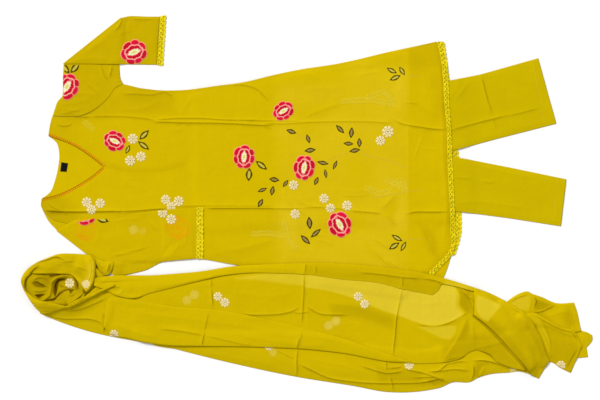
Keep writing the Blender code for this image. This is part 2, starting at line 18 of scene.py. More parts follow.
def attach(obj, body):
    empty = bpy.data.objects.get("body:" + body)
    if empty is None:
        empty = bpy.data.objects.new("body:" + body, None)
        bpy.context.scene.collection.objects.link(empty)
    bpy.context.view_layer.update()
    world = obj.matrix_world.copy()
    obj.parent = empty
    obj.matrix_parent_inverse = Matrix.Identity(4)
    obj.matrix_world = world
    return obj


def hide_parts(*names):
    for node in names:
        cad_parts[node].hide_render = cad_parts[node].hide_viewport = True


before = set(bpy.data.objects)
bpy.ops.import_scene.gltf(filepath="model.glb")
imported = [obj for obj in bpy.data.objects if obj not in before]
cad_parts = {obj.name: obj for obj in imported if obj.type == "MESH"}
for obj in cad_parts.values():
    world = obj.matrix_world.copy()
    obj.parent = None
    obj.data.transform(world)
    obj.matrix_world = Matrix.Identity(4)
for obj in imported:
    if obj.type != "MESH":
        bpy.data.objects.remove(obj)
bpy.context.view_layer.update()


# ======================================================================================
# Table, lamp and camera.  A seamless sheet of white paper, one large soft lamp from the
# far left and pale light from all round.  The camera looks straight down on the middle.
# ======================================================================================
def paint(code):
    """Linear colour of an sRGB hex code."""
    parts = [int(code[i:i + 2], 16) / 255 for i in (0, 2, 4)]
    return [p / 12.92 if p <= 0.04045 else ((p + 0.055) / 1.055) ** 2.4 for p in parts] + [1.0]


def node(tree, kind, inputs=(), **settings):
    """A shader node with its settings, values and links."""
    made = tree.nodes.new("ShaderNode" + kind)
    for key, value in settings.items():
        setattr(made, key, value)
    for key, value in dict(inputs).items():
        if isinstance(value, bpy.types.NodeSocket):
            tree.links.new(value, made.inputs[key])
        else:
            made.inputs[key].default_value = value
    return made


def fresh_material(name):
    made = bpy.data.materials.new(name)
    made.use_nodes = True
    return made, made.node_tree, made.node_tree.nodes["Principled BSDF"]


def added(name, data):
    """A new object in the scene."""
    made = bpy.data.objects.new(name, data)
    bpy.context.collection.objects.link(made)
    return made


# Matt paper with a very fine grain: no shine, so it stays plain white under the cloth.
paper, tree, shader = fresh_material("matt_white_paper")
grain = node(tree, "TexNoise", {"Vector": node(tree, "TexCoord").outputs["Object"], "Scale": 900.0})
bump = node(tree, "Bump", {"Height": grain.outputs["Fac"], "Distance": 0.0001, "Strength": 0.2})
tree.links.new(bump.outputs["Normal"], shader.inputs["Normal"])
shader.inputs["Base Color"].default_value = paint("f4f4f4")
shader.inputs["Roughness"].default_value = 0.9
shader.inputs["Specular IOR Level"].default_value = 0.1
corners = [(x, y, -0.0004) for x, y in ((-4, -4), (4, -4), (4, 4), (-4, 4))]
sheet_mesh = bpy.data.meshes.new("paper_table")
sheet_mesh.from_pydata(corners, [], [(0, 1, 2, 3)])
sheet_mesh.materials.append(paper)
added("paper_table", sheet_mesh)

room = bpy.data.worlds.new("pale_room")
room.use_nodes = True
light = room.node_tree.nodes["Background"].inputs
light["Color"].default_value = (1.0, 1.0, 1.0, 1.0)
light["Strength"].default_value = 0.56
bpy.context.scene.world = room
bpy.context.scene.view_settings.view_transform = "Standard"
lamp_data = bpy.data.lights.new("soft_lamp", "SUN")
lamp_data.energy = 2.5
lamp_data.angle = math.radians(16)
lamp = added("soft_lamp", lamp_data)
lamp.rotation_euler = Vector((-0.48, 0.58, 0.78)).to_track_quat("Z", "Y").to_euler()

camera_data = bpy.data.cameras.new("camera_above")
camera_data.lens = 85.0
camera_data.sensor_width = 36.0
camera_data.clip_end = 20.0
camera = added("camera_above", camera_data)
camera.location = (-0.018, 0.010, 1.62 * camera_data.lens / camera_data.sensor_width)
bpy.context.scene.camera = camera


# ======================================================================================
# Kameez back.  One ply of printed lawn cotton, cut as the front but with a shallow neck;
# it shows inside the neck opening and as a strip past the front hem.
# ======================================================================================
def metres(rows):
    """Points x y x y in table millimetres, to metres about the middle of the set."""
    return (np.reshape(rows, (-1, 2)) - (828, 530)) * 0.001


def pairs(*numbers):
    return np.reshape(numbers, (-1, 2))


def ease(value):
    value = np.clip(value, 0.0, 1.0)
    return value * value * (3.0 - 2.0 * value)


def flow(rows, step, closed=False):
    """Smooth line through points in metres, a point every step; sharp turns stay corners."""
    sharp = 40.0     # degrees
    rows = np.asarray(rows, dtype=float)
    way = np.roll(rows, -1, axis=0) - rows
    long = np.maximum(np.linalg.norm(way, axis=1), 1e-9)
    unit = way / long[:, None]
    last = np.roll(unit, 1, axis=0)
    before = np.roll(long, 1)
    soft = np.degrees(np.arccos(np.clip((unit * last).sum(axis=1), -1, 1))) < sharp
    if not closed:
        soft[0] = soft[-1] = False
    mean = (last * long[:, None] + unit * before[:, None]) / (long + before)[:, None]
    line = []
    for i in range(len(rows) if closed else len(rows) - 1):
        j = (i + 1) % len(rows)
        start = (mean[i] if soft[i] else unit[i]) * long[i]
        end = (mean[j] if soft[j] else unit[i]) * long[i]
        count = max(1, math.ceil(long[i] / step))
        t = (np.arange(count) / count)[:, None]
        line.append((2 * t ** 3 - 3 * t ** 2 + 1) * rows[i] + (t ** 3 - 2 * t ** 2 + t) * start
                    + (3 * t ** 2 - 2 * t ** 3) * rows[j] + (t ** 3 - t ** 2) * end)
    if not closed:
        line.append(rows[-1:])
    return np.vstack(line)


def beside(plan, path):
    """Signed distance of each point from a path, left is more than 0, and its share of the way."""
    way = path[1:] - path[:-1]
    long = np.maximum(np.linalg.norm(way, axis=1), 1e-9)
    run = np.concatenate([[0.0], np.cumsum(long)])
    best = np.full(len(plan), 9.0)
    side = np.ones(len(plan))
    share = np.zeros(len(plan))
    for i in range(len(way)):
        offset = plan - path[i]
        t = np.clip(offset @ way[i] / long[i] ** 2, 0, 1)
        gap = offset - t[:, None] * way[i]
        near = np.hypot(gap[:, 0], gap[:, 1])
        won = near < best - 1e-9
        best[won] = near[won]
        side[won] = np.where(way[i][0] * offset[won, 1] - way[i][1] * offset[won, 0] < 0, -1.0, 1.0)
        share[won] = (run[i] + t[won] * long[i]) / run[-1]
    return best * side, share


def length(line):
    return np.linalg.norm(np.diff(line, axis=0), axis=1).sum()


def close_to(plan, line, reach):
    """True for the points within reach of the box round a line."""
    return ((plan > line.min(axis=0) - reach) & (plan < line.max(axis=0) + reach)).all(axis=1)


LAMP_WAY = (-0.64, 0.77)     # where the lamp stands, seen from above


def creased(plan, folds, shaded=None):
    """Height in metres of ridges, or troughs below 0: ((height, left, right), line), and how dark
    the crease's painted shade is, where its height does not say so.

    shaded, where given, takes the painted shade of each point: a sharp crease gets a narrow painted
    shade line on its steep side, darker where that side faces away from the lamp and a painted
    highlight where it faces it, and a painted highlight on its brow.
    """
    total = np.zeros(len(plan))
    for (height, left, right, *dark), rows in folds:
        path = flow(metres(rows), 0.008)
        reach = 0.0055 * max(left, right)
        chosen = np.nonzero(close_to(plan, path, reach))[0]
        if not len(chosen):
            continue
        away, share = beside(plan[chosen], path)
        width = np.where(away > 0, left, right) * 0.001
        long = length(path)
        fade = min(0.03, 0.35 * long) / long
        ends = ease(share / fade) * ease((1 - share) / fade)
        total[chosen] += 0.001 * height * ends * np.exp(-np.abs(away) / width)
        if shaded is None or min(left, right) > 3.6:     # too round for a painted shade line
            continue
        way = path[-1] - path[0]
        side = 1.0 if left < right else -1.0
        facing = way[0] * LAMP_WAY[1] - way[1] * LAMP_WAY[0]
        faces_lamp = side * facing / max(np.linalg.norm(way), 1e-9)
        painted_crease_shade = (dark[0] if dark else min(1.0, abs(height) / 2.0)) * ends
        # a trough gets a painted shade line along its middle
        if height < 0:
            line = 0.7 * np.exp(-(away / 0.0016) ** 2)
        else:
            line = (0.45 - 0.75 * faces_lamp) * np.exp(-((away * side - 0.0010) / 0.0016) ** 2)
            line = line - 0.25 * np.exp(-((away * side + 0.0022) / 0.0022) ** 2)
        line = painted_crease_shade * line
        known = shaded[chosen]
        shaded[chosen] = np.where(np.abs(line) > np.abs(known), line, known)
    return total


def between(field, cell, part):
    """Values of a field between its cells."""
    i, j = cell[..., 0], cell[..., 1]
    low = field[i, j] * (1 - part[..., 0]) + field[i + 1, j] * part[..., 0]
    high = field[i, j + 1] * (1 - part[..., 0]) + field[i + 1, j + 1] * part[..., 0]
    return low * (1 - part[..., 1]) + high * part[..., 1]


def drift(plan, size, seed, turn=0.0):
    """Smooth random field from -1 to 1 with humps about size (x, y) metres across."""
    values = np.random.default_rng(seed).uniform(-1, 1, (97, 97))
    cosine, sine = math.cos(turn), math.sin(turn)
    turned = plan @ np.array([[cosine, -sine], [sine, cosine]])
    spot = turned / np.asarray(size) + 40.0
    cell = np.floor(spot).astype(int)
    return between(values, cell % 96, ease(spot - cell))


def ripple(plan, seed):
    """Faint unevenness of washed and pressed cotton, in metres, never below 0."""
    wide = drift(plan, (0.120, 0.070), seed, 0.3)
    middling = drift(plan, (0.060, 0.032), seed + 1, -0.2)
    small = drift(plan, (0.024, 0.015), seed + 2, 0.7)
    return 0.001 * np.clip(1.0 + 0.60 * wide + 0.38 * middling + 0.10 * small, 0.0, 2.6)


pile_cell = 0.002
pile_corner = np.array([-0.88, -0.62])
pile = np.zeros((880, 620))      # top of everything laid so far, one value a cell


def lay(points, triangles):
    """Raise the pile to the top of a piece that now lies on it."""
    corners = np.asarray(points, dtype=float)[np.asarray(triangles)]
    sides = np.linalg.norm(corners - np.roll(corners, 1, axis=1), axis=2).max(axis=1)
    parts = np.clip(np.ceil(sides / (0.7 * pile_cell)).astype(int), 1, 60)
    for count in np.unique(parts):
        steps = [(i, j) for i in range(count + 1) for j in range(count + 1 - i)]
        shares = np.array([(i, j, count - i - j) for i, j in steps]) / count
        spots = np.einsum("sk,tkd->tsd", shares, corners[parts == count]).reshape(-1, 3)
        cell = ((spots[:, :2] - pile_corner) / pile_cell).astype(int)
        np.maximum.at(pile, (cell[:, 0], cell[:, 1]), spots[:, 2])


def averaged(field, turns):
    """Each cell with its neighbours, both ways, turns times over."""
    for _ in range(turns):
        field = np.pad(field, 1, mode="edge")
        field = (field[:-2] + 2 * field[1:-1] + field[2:]) / 4
        field = (field[:, :-2] + 2 * field[:, 1:-1] + field[:, 2:]) / 4
    return field


def bed(plan, under=None):
    """Height at which a new ply is carried: smoothed, and just clear of what lies below."""
    field = pile if under is None else under
    for turn in range(5):
        wide = field.copy()
        wide[1:] = np.maximum(wide[1:], field[:-1])
        wide[:-1] = np.maximum(wide[:-1], field[1:])
        base = wide.copy() if turn % 2 else field
        wide[:, 1:] = np.maximum(wide[:, 1:], base[:, :-1])
        wide[:, :-1] = np.maximum(wide[:, :-1], base[:, 1:])
        field = wide
    field = averaged(field, 3)
    spot = (np.asarray(plan) - pile_corner) / pile_cell - 0.5
    cell = np.floor(spot).astype(int)
    top = between(field, cell, spot - cell)
    return top + 0.00016 * np.clip(top / 0.0002, 0, 1)


def softened():
    """The pile with its steps worn down to slopes, for a ply that shows nothing of them."""
    field = pile
    for _ in range(10):
        field = np.pad(field, 1, mode="edge")
        field = np.maximum.reduce((field[:-2], field[1:-1], field[2:]))
        field = np.maximum.reduce((field[:, :-2], field[:, 1:-1], field[:, 2:]))
    return averaged(field, 40)


def meshed(name, points, faces=()):
    mesh = bpy.data.meshes.new(name)
    mesh.from_pydata(np.asarray(points, dtype=float).tolist(), [], faces)
    return mesh


def marked(mesh, key, values, kind="FLOAT", domain="POINT"):
    """Give the mesh an attribute for its material or its tree to read."""
    field = {"FLOAT": "value", "FLOAT_COLOR": "color", "FLOAT_VECTOR": "vector"}[kind]
    values = np.ravel(np.asarray(values, dtype=float))
    mesh.attributes.new(key, kind, domain).data.foreach_set(field, values)


def built(name, points, faces, material, walls, tone, stain=None):
    """A mesh object turned outward: its first faces, so many as walls, are smooth, and the
    rest are its cut edges."""
    fans = [(f[0], f[k], f[k + 1]) for f in faces for k in range(1, len(f) - 1)]
    corners = points[np.array(fans)]
    if np.einsum("ij,ij->", corners[:, 0], np.cross(corners[:, 1], corners[:, 2])) < 0:
        faces = [f[::-1] for f in faces]
    mesh = meshed(name, points, faces)
    mesh.polygons.foreach_set("use_smooth", np.arange(len(faces)) < walls)
    marked(mesh, "tone", tone)
    marked(mesh, "stain", np.zeros((len(points), 4)) if stain is None else stain, "FLOAT_COLOR")
    mesh.materials.append(material)
    mesh.update()
    return added(name, mesh)


def belongs(piece, slot, *nodes):
    """The piece rides on the part and stands for its CAD nodes, which are hidden; slot is not used.
    """
    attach(piece, "root")
    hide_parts(*nodes)
    return piece


skins = {}       # upper surfaces that embroidery and stitches are laid on


def blend(tree, share, low, high):
    return node(tree, "Mix", {0: share, 6: low, 7: high}, data_type="RGBA").outputs[2]


def multiplied(tree, colour, share):
    return node(tree, "VectorMath", {0: colour, "Scale": share}, operation="SCALE").outputs[0]


def dressed(tree, shader, colour, bump, rough, shine):
    """Link a colour and a bump to the shader and set how rough and how shiny it is."""
    tree.links.new(colour, shader.inputs["Base Color"])
    tree.links.new(bump.outputs["Normal"], shader.inputs["Normal"])
    shader.inputs["Roughness"].default_value = rough
    shader.inputs["Specular IOR Level"].default_value = shine


WAVES = 0.314      # scale of a Wave texture that gives one band a metre


def cloth_material(name, colour, light, dark, thread, crumple, weight):
    """Plain-weave cotton or chiffon: thread is the drawn spacing of the weave in metres.

    The point attributes tone (1 lighter where one sheer ply is seen, where the print is pale, and
    for painted highlights; -1 darker where several plies lie together, and for painted shade and
    shadows) and stain (what shows through from below) tint it.
    """
    made, tree, shader = fresh_material(name)
    place = node(tree, "TexCoord").outputs["Object"]
    warp, weft = [
        node(tree, "TexWave", {"Vector": place, "Scale": WAVES / thread, "Distortion": 0.6,
                               "Detail": 1.0, "Detail Scale": 2.0}, bands_direction=way)
        for way in "XY"]
    weave = node(tree, "Math", {0: warp.outputs["Fac"], 1: weft.outputs["Fac"]},
                 operation="MULTIPLY")
    slubs = []
    for stretched in ((7.0, 380.0, 1.0), (360.0, 9.0, 1.0)):
        threads = node(tree, "Mapping", {"Vector": place, "Scale": stretched})
        slubs.append(node(tree, "TexNoise", {"Vector": threads.outputs["Vector"], "Scale": 1.0,
                                             "Detail": 2.0}).outputs["Fac"])
    cloudy = node(tree, "TexNoise", {"Vector": place, "Scale": 17.0, "Detail": 4.0,
                                     "Roughness": 0.6})
    tone = node(tree, "Attribute", attribute_name="tone").outputs["Fac"]
    stain = node(tree, "Attribute", attribute_name="stain")
    lightened, darkened = [node(tree, "Math", {0: tone, 1: sign}, operation="MULTIPLY",
                             use_clamp=True).outputs[0] for sign in (1.0, -1.0)]
    cloth = blend(tree, darkened, blend(tree, lightened, paint(colour), paint(light)), paint(dark))
    cloth = blend(tree, stain.outputs["Alpha"], cloth, stain.outputs["Color"])
    streaks = node(tree, "Math", {0: slubs[0], 1: slubs[1]}, operation="ADD")
    shade = node(tree, "Math", {0: streaks.outputs[0], 1: 0.06, 2: 0.89}, operation="MULTIPLY_ADD")
    cloud = node(tree, "Math", {0: cloudy.outputs["Fac"], 1: 0.10, 2: shade.outputs[0]},
                 operation="MULTIPLY_ADD")
    crumpled = node(tree, "TexNoise", {"Vector": place, "Scale": 46.0, "Detail": 3.0,
                                       "Roughness": 0.55})
    soft = node(tree, "Bump", {"Height": crumpled.outputs["Fac"], "Distance": crumple,
                               "Strength": 1.0})
    fine = node(tree, "Bump", {"Height": weave.outputs[0], "Distance": 0.00012, "Strength": 0.6,
                               "Normal": soft.outputs["Normal"]})
    dressed(tree, shader, multiplied(tree, cloth, cloud.outputs[0]), fine, 0.92, 0.02)
    shader.inputs["Sheen Weight"].default_value = weight
    shader.inputs["Sheen Tint"].default_value = paint(light)
    shader.inputs["Sheen Roughness"].default_value = 0.5
    return made


def border_distance(plan, border):
    """Distance of points from a closed border."""
    away, _ = beside(plan, np.vstack([border, border[:1]]))
    return np.abs(away)


def within(plan, border):
    """True for the points inside a closed border."""
    hits = np.zeros(len(plan), dtype=int)
    for a, b in zip(border, np.roll(border, -1, axis=0)):
        crosses = (a[1] > plan[:, 1]) != (b[1] > plan[:, 1])
        rise = b[1] - a[1] if abs(b[1] - a[1]) > 1e-12 else 1e-12
        hits += crosses & (plan[:, 0] < (b[0] - a[0]) * (plan[:, 1] - a[1]) / rise + a[0])
    return hits % 2 == 1


def beyond(line, reach):
    """A closed line moved sideways by reach, left of its way being more than 0."""
    way = np.roll(line, -1, axis=0) - np.roll(line, 1, axis=0)
    normal = np.column_stack([-way[:, 1], way[:, 0]])
    return line + reach * normal / np.maximum(np.linalg.norm(normal, axis=1), 1e-9)[:, None]


def scattered(border, step, folds, rims, extra=()):
    """Plan points of a ply: its border, rims inside it, rows along its folds, and a lattice."""
    ahead = np.roll(border, -1, axis=0)
    area = (border[:, 0] * ahead[:, 1] - ahead[:, 0] * border[:, 1]).sum()
    groups = [border]
    for rim in rims:
        row = beyond(border, rim * np.sign(area))
        row = row[within(row, border)]
        groups.append(row[border_distance(row, border) > 0.85 * rim])
    low, high = border.min(axis=0), border.max(axis=0)
    lattice = np.array([(x, y) for i, y in enumerate(np.arange(low[1], high[1], step * 0.866))
                        for x in np.arange(low[0] + (i % 2) * step / 2, high[0], step)])
    lattice = lattice[within(lattice, border)]
    lattice = lattice[border_distance(lattice, border) > rims[-1] + 0.5 * step]
    rows_along = []
    for (_, left, right, *_), rows in folds:
        path = flow(metres(rows), 0.0028)
        tangent = np.gradient(path, axis=0)
        normal = np.column_stack([-tangent[:, 1], tangent[:, 0]])
        normal /= np.maximum(np.linalg.norm(normal, axis=1), 1e-9)[:, None]
        spaces = [0.0]
        for width, sign in ((left, 1), (right, -1)):
            if width < 2.2 * step * 1000:
                spaces += [sign * 0.0005 * width, sign * 0.0013 * width]
        rows_along += [path + normal * space for space in spaces]
        away, _ = beside(lattice, path)
        near_left, near_right = [0.0013 * min(width, 2.2 * step * 1000) + 0.35 * step
                                 for width in (left, right)]
        lattice = lattice[(away > near_left) | (away < -near_right)]
    rows_along += list(extra)
    if rows_along:
        row = np.vstack(rows_along)
        row = row[within(row, border)]
        row = row[border_distance(row, border) > rims[-1] + 0.0006]
        order = np.unique(np.round(row / 0.0011).astype(int), axis=0, return_index=True)[1]
        groups.append(row[order])
    return np.vstack(groups + [lattice])


def layered(plan, top, bottom=0.0):
    """Points of an upper skin, then the same plan points at the height of its underside."""
    below = np.broadcast_to(bottom, len(plan))
    return np.vstack([np.column_stack([plan, top]), np.column_stack([plan, below])])


def shell(skin, count, flush=()):
    """Faces of a closed body: a skin, the same turned over count points on, and its rim."""
    used = {pair for face in skin for pair in zip(face, face[1:] + face[:1])}
    rim = sorted((b, a) for a, b in used if (b, a) not in used and (a, b) not in flush)
    return (list(skin) + [tuple(i + count for i in face[::-1]) for face in skin]
            + [(a, b, b + count, a + count) for a, b in rim])


PLY = 0.0006             # thickness of one ply, in metres
CREASE_SHADE = 0.42      # how much tone the darkest painted crease shade takes away


def panel(name, border, material, step=0.005, ply=PLY, folds=(), lift=None, depth=None,
          under=None, rims=(0.0012, 0.0034), tone=None, stain=None, extra=()):
    """One ply laid on the pile.  lift is the height in metres that it stands above its bed;
    depth, where given, makes it a solid stack of plies that thick."""
    spots = scattered(border, step, folds, rims, extra)
    corners, _, faces, _, _, _ = delaunay_2d_cdt([Vector(p) for p in spots], [],
                                                 [list(range(len(border)))], 1, 1e-6)
    plan = np.array([(p.x, p.y) for p in corners])
    away = border_distance(plan, border)
    carried = bed(plan, under)
    dark = np.zeros(len(plan))
    rise = creased(plan, folds, dark) * ease(away / 0.006)
    if lift is not None:
        rise = rise + lift(plan, away)
    rise = np.maximum(rise, 0.0)
    thick = ply if depth is None else depth(plan, away)
    bottom = carried if depth is not None else carried + rise
    top = carried + rise + thick
    count = len(plan)
    points = layered(plan, top, bottom)
    skin = [tuple(f) for f in faces]
    body = shell(skin, count)
    upper = points[:count]
    lay(upper, skin)
    skins[name] = BVHTree.FromPolygons(upper.tolist(), skin)
    # tone: the given patches, less the painted shade of the creases
    shades = (0.0 if tone is None else tone(plan, away)) - CREASE_SHADE * dark
    shades = np.tile(shades, 2)
    stains = None if stain is None else np.tile(stain(plan), (2, 1))
    return built(name, points, body, material, 2 * len(skin), shades, stains)


def joined(*lines):
    """One closed border from tables, each smoothed on its own."""
    line = np.vstack([flow(metres(rows), 0.005) for rows in lines])
    keep = np.linalg.norm(np.roll(line, -1, axis=0) - line, axis=1) > 0.0004
    return line[keep]


def lawn_lift(seed, rest=1.0):
    """Lawn cotton lies a little uneven, and close down at its edges."""
    return lambda plan, away: rest * ripple(plan, seed) * ease(away / 0.016)


kameez_lawn = cloth_material("kameez_printed_lawn_cotton", "caae00", "d8bb1c", "6e5400",
                             0.0009, 0.0009, 0.10)
NECK_FRONT = pairs(131, 713, 205, 683, 257, 647, 278, 630, 259, 613, 213, 582, 159, 556, 113, 544)
NECK_BACK = pairs(131, 713, 153, 694, 160, 664, 157, 629, 148, 591, 136, 562, 113, 544)
SHOULDER_LEFT = pairs(141, 764, 137, 750, 134, 734, 131, 713)
SHOULDER_RIGHT = pairs(113, 544, 111, 526, 117, 510)
ARMHOLE_LEFT = [142, 766, 165, 764, 189, 764, 216, 765, 243, 775, 262, 787, 284, 806, 297,
    821, 309, 840, 333, 853]
ARMHOLE_RIGHT = pairs(117, 510, 143, 487, 181, 477, 221, 471, 262, 454, 297, 424, 327, 385)
SIDE_LEFT = [378, 842, 432, 836, 500, 837, 586, 848, 664, 859, 729, 875, 810, 892, 907, 907,
    1056, 941]
SIDE_RIGHT = [945, 321, 810, 340, 702, 356, 629, 366, 540, 381, 432, 383]
HEM_FRONT = pairs(1180, 967, 1191, 918, 1196, 864, 1200, 796, 1206, 729, 1208, 659, 1210, 594,
    1214, 526, 1216, 459, 1215, 408, 1185, 371, 1156, 342, 1075, 297)
HEM_BACK = pairs(1177, 967, 1191, 913, 1198, 864, 1209, 783, 1222, 670, 1228, 567, 1230, 508,
    1230, 459, 1224, 424, 1218, 389, 1196, 327, 1177, 298, 1075, 300)
around = joined(ARMHOLE_LEFT, SIDE_LEFT, HEM_BACK, SIDE_RIGHT, ARMHOLE_RIGHT[::-1],
                SHOULDER_RIGHT[::-1], NECK_BACK[::-1], SHOULDER_LEFT[::-1])
back = panel("kameez_back_lawn", around, kameez_lawn, step=0.011, lift=lawn_lift(23, 0.6))
belongs(back, "kameez_cloth", "kameez_back")


# ======================================================================================
# Neck label.  A small black woven satin tab, sewn inside the back neck; it carries nothing.
# ======================================================================================
def satin_material(name, colour, light, thread):
    """Smooth woven thread that shines a little along one way."""
    made, tree, shader = fresh_material(name)
    place = node(tree, "TexCoord").outputs["Object"]
    weave = node(tree, "TexWave", {"Vector": place, "Scale": WAVES / thread, "Distortion": 0.5},
                 bands_direction="Y")
    bump = node(tree, "Bump", {"Height": weave.outputs["Fac"], "Distance": 0.0001, "Strength": 0.5})
    thread_colour = blend(tree, weave.outputs["Fac"], paint(colour), paint(light))
    dressed(tree, shader, thread_colour, bump, 0.7, 0.1)
    return made


black_satin = satin_material("black_woven_satin", "060505", "0f0e0e", 0.0005)
border = flow(metres([166, 642, 184, 639, 180, 616, 163, 617]), 0.002, True)
label = panel("neck_label_satin", border, black_satin, step=0.0025, ply=0.0005, rims=(0.0008,),
              lift=lambda plan, away: 0.0002 * ease(away / 0.003))
belongs(label, "label", "neck_label")


# ======================================================================================
# Hem lace.  Cotton crochet-look lace, 17 mm wide, sewn to the kameez hems edge to edge;
# each 12 mm repeat has two eyelets, a raised cord round them and one scallop at its edge.
# ======================================================================================
def lace_material(name, colour, middle, eyelet_shadow):
    """Mercerised cotton thread in bright knots, with a painted highlight on its raised cord and
    painted shadow round each hole.
    """
    made, tree, shader = fresh_material(name)
    place = node(tree, "TexCoord").outputs["Object"]
    knots = node(tree, "TexVoronoi", {"Vector": place, "Scale": 430.0})
    bunches = node(tree, "TexVoronoi", {"Vector": place, "Scale": 150.0})
    # tone: 0 is the painted shadow round a hole, 1 the painted highlight of the raised cord
    raised = node(tree, "Attribute", attribute_name="tone").outputs["Fac"]
    deep, high = [node(tree, "MapRange", {"Value": raised, 1: low, 2: low + 0.5}).outputs["Result"]
                  for low in (0.0, 0.5)]
    tint = blend(tree, high, blend(tree, deep, paint(eyelet_shadow), paint(middle)), paint(colour))
    both = node(tree, "Math", {0: knots.outputs["Distance"], 1: bunches.outputs["Distance"]},
                operation="ADD")
    speck = node(tree, "MapRange", {"Value": both.outputs[0], 1: 0.35, 2: 1.35, 3: 1.18, 4: 0.66})
    bump = node(tree, "Bump", {"Height": knots.outputs["Distance"], "Distance": -0.0006,
                               "Strength": 0.9})
    dressed(tree, shader, multiplied(tree, tint, speck.outputs["Result"]), bump, 0.7, 0.1)
    return made


def lace_unit():
    """One repeat of lace, open at its two ends: x along the band, y across it, both in mm."""
    repeat, wide, body = 12.0, 17.0, 14.6
    holes = [(3.2, 5.0, 1.1), (9.0, 9.4, 0.9)]
    ends = [0.0, 2.8, 5.6, 8.4, 11.2, body]
    rim = [(x, 0.0) for x in np.linspace(0, repeat, 5)]
    rim += [(repeat, y) for y in ends[1:]]
    rim += [(x, body + (wide - body) * math.sin(math.pi * x / repeat) ** 0.6)
            for x in np.linspace(repeat, 0, 8)[1:-1]]
    rim += [(0.0, y) for y in ends[:0:-1]]
    points, faces, start = list(rim), [list(range(len(rim)))], len(rim)
    for x, y, radius in holes:
        for reach in (radius, 1.6, 2.8):
            turn = np.linspace(0, 2 * math.pi, 7)[:-1] + 0.5 * (reach == 1.6)
            spots = [(x + reach * math.cos(t), y + reach * math.sin(t)) for t in turn]
            points += [p for p in spots if 0.6 < p[0] < repeat - 0.6]
            if reach == radius:
                faces.append(list(range(start, start + 6)))
            start = len(points)
    points += [(9.0, 3.0), (6.2, 1.8), (6.0, 7.4), (3.0, 10.4), (6.0, 12.2), (3.2, 14.0),
               (9.0, 13.8), (6.0, 15.6)]
    spots = [Vector(p) for p in points]
    corners, _, made, _, _, owners = delaunay_2d_cdt(spots, [], faces, 1, 1e-4)
    made = [f for f, owner in zip(made, owners) if owner == [0]]
    plan = np.array([(p.x, p.y) for p in corners])
    near = np.min([np.hypot(plan[:, 0] - x, plan[:, 1] - y) for x, y, _ in holes], axis=0)
    cord = np.exp(-((near - 2.9) / 0.8) ** 2) + 0.9 * np.exp(-((plan[:, 1] - 15.0) / 1.6) ** 2)
    high = 0.5 + 0.9 * np.clip(cord, 0, 1)
    high[plan[:, 1] < 0.5] = 0.7
    high[plan[:, 1] > body - 0.1] = 0.5
    count = len(plan)
    ends = [np.nonzero(at_end)[0] for at_end in (plan[:, 0] < 1e-6, plan[:, 0] > repeat - 1e-6)]
    flush = {(i, j) for end in ends for i in end for j in end}
    faces = shell([tuple(f) for f in made], count, flush)
    mesh = meshed("lace_unit", layered(plan, high) * 0.001, faces)
    # painted shadow round each hole, and a painted highlight along the raised cord
    tone = (0.3 + 0.7 * ease((near - 1.3) / 0.9)) * (0.62 + 0.38 * np.clip(cord, 0, 1))
    marked(mesh, "tone", np.tile(tone, 2))
    return added("lace_unit", mesh)


def copies_tree(name):
    """Geometry Nodes: a unit on every point, turned and sized by the points' own numbers."""
    tree = bpy.data.node_groups.new(name, "GeometryNodeTree")
    for label, kind, way in (("Geometry", "Geometry", "INPUT"), ("Geometry", "Geometry", "OUTPUT"),
                             ("Unit", "Object", "INPUT"), ("Thread", "Material", "INPUT")):
        tree.interface.new_socket(label, in_out=way, socket_type="NodeSocket" + kind)
    given, unit, copies, solid, thread, result, turn, size = [
        tree.nodes.new(kind) for kind in (
            "NodeGroupInput", "GeometryNodeObjectInfo", "GeometryNodeInstanceOnPoints",
            "GeometryNodeRealizeInstances", "GeometryNodeSetMaterial", "NodeGroupOutput",
            "ShaderNodeCombineXYZ", "ShaderNodeCombineXYZ")]
    size.inputs["Z"].default_value = 1.0
    for key, target, entry in (("turn", turn, "Z"), ("long", size, "X"), ("wide", size, "Y")):
        named = tree.nodes.new("GeometryNodeInputNamedAttribute")
        named.data_type = "FLOAT"
        named.inputs["Name"].default_value = key
        tree.links.new(named.outputs["Attribute"], target.inputs[entry])
    for source, output, target, entry in (
            (given, "Geometry", copies, "Points"), (given, "Unit", unit, "Object"),
            (unit, "Geometry", copies, "Instance"), (turn, 0, copies, "Rotation"),
            (size, 0, copies, "Scale"), (copies, 0, solid, 0), (solid, 0, thread, 0),
            (given, "Thread", thread, "Material"), (thread, 0, result, 0)):
        tree.links.new(source.outputs[output], target.inputs[entry])
    return tree


def grown(name, unit, thread, plan, turn=0.0, long=1.0, wide=1.0):
    """Copies of a unit on plan points through the Geometry Nodes tree, kept as a plain mesh."""
    seeds = meshed(name + "_seeds", np.column_stack([plan, np.zeros(len(plan))]))
    for key, values in (("turn", turn), ("long", long), ("wide", wide)):
        marked(seeds, key, np.broadcast_to(values, len(plan)))
    holder = added(name + "_seeds", seeds)
    maker = holder.modifiers.new(name, "NODES")
    maker.node_group = copies
    for item in copies.interface.items_tree:
        if item.item_type == "SOCKET" and item.name in ("Unit", "Thread"):
            maker[item.identifier] = unit if item.name == "Unit" else thread
    result = holder.evaluated_get(bpy.context.evaluated_depsgraph_get())
    mesh = bpy.data.meshes.new_from_object(result)
    bpy.data.objects.remove(holder)
    mesh.name = name
    return added(name, mesh)


def welded(piece, gap):
    """Join the points of a piece that lie closer than gap."""
    work = bmesh.new()
    work.from_mesh(piece.data)
    bmesh.ops.remove_doubles(work, verts=work.verts, dist=gap)
    work.to_mesh(piece.data)
    work.free()


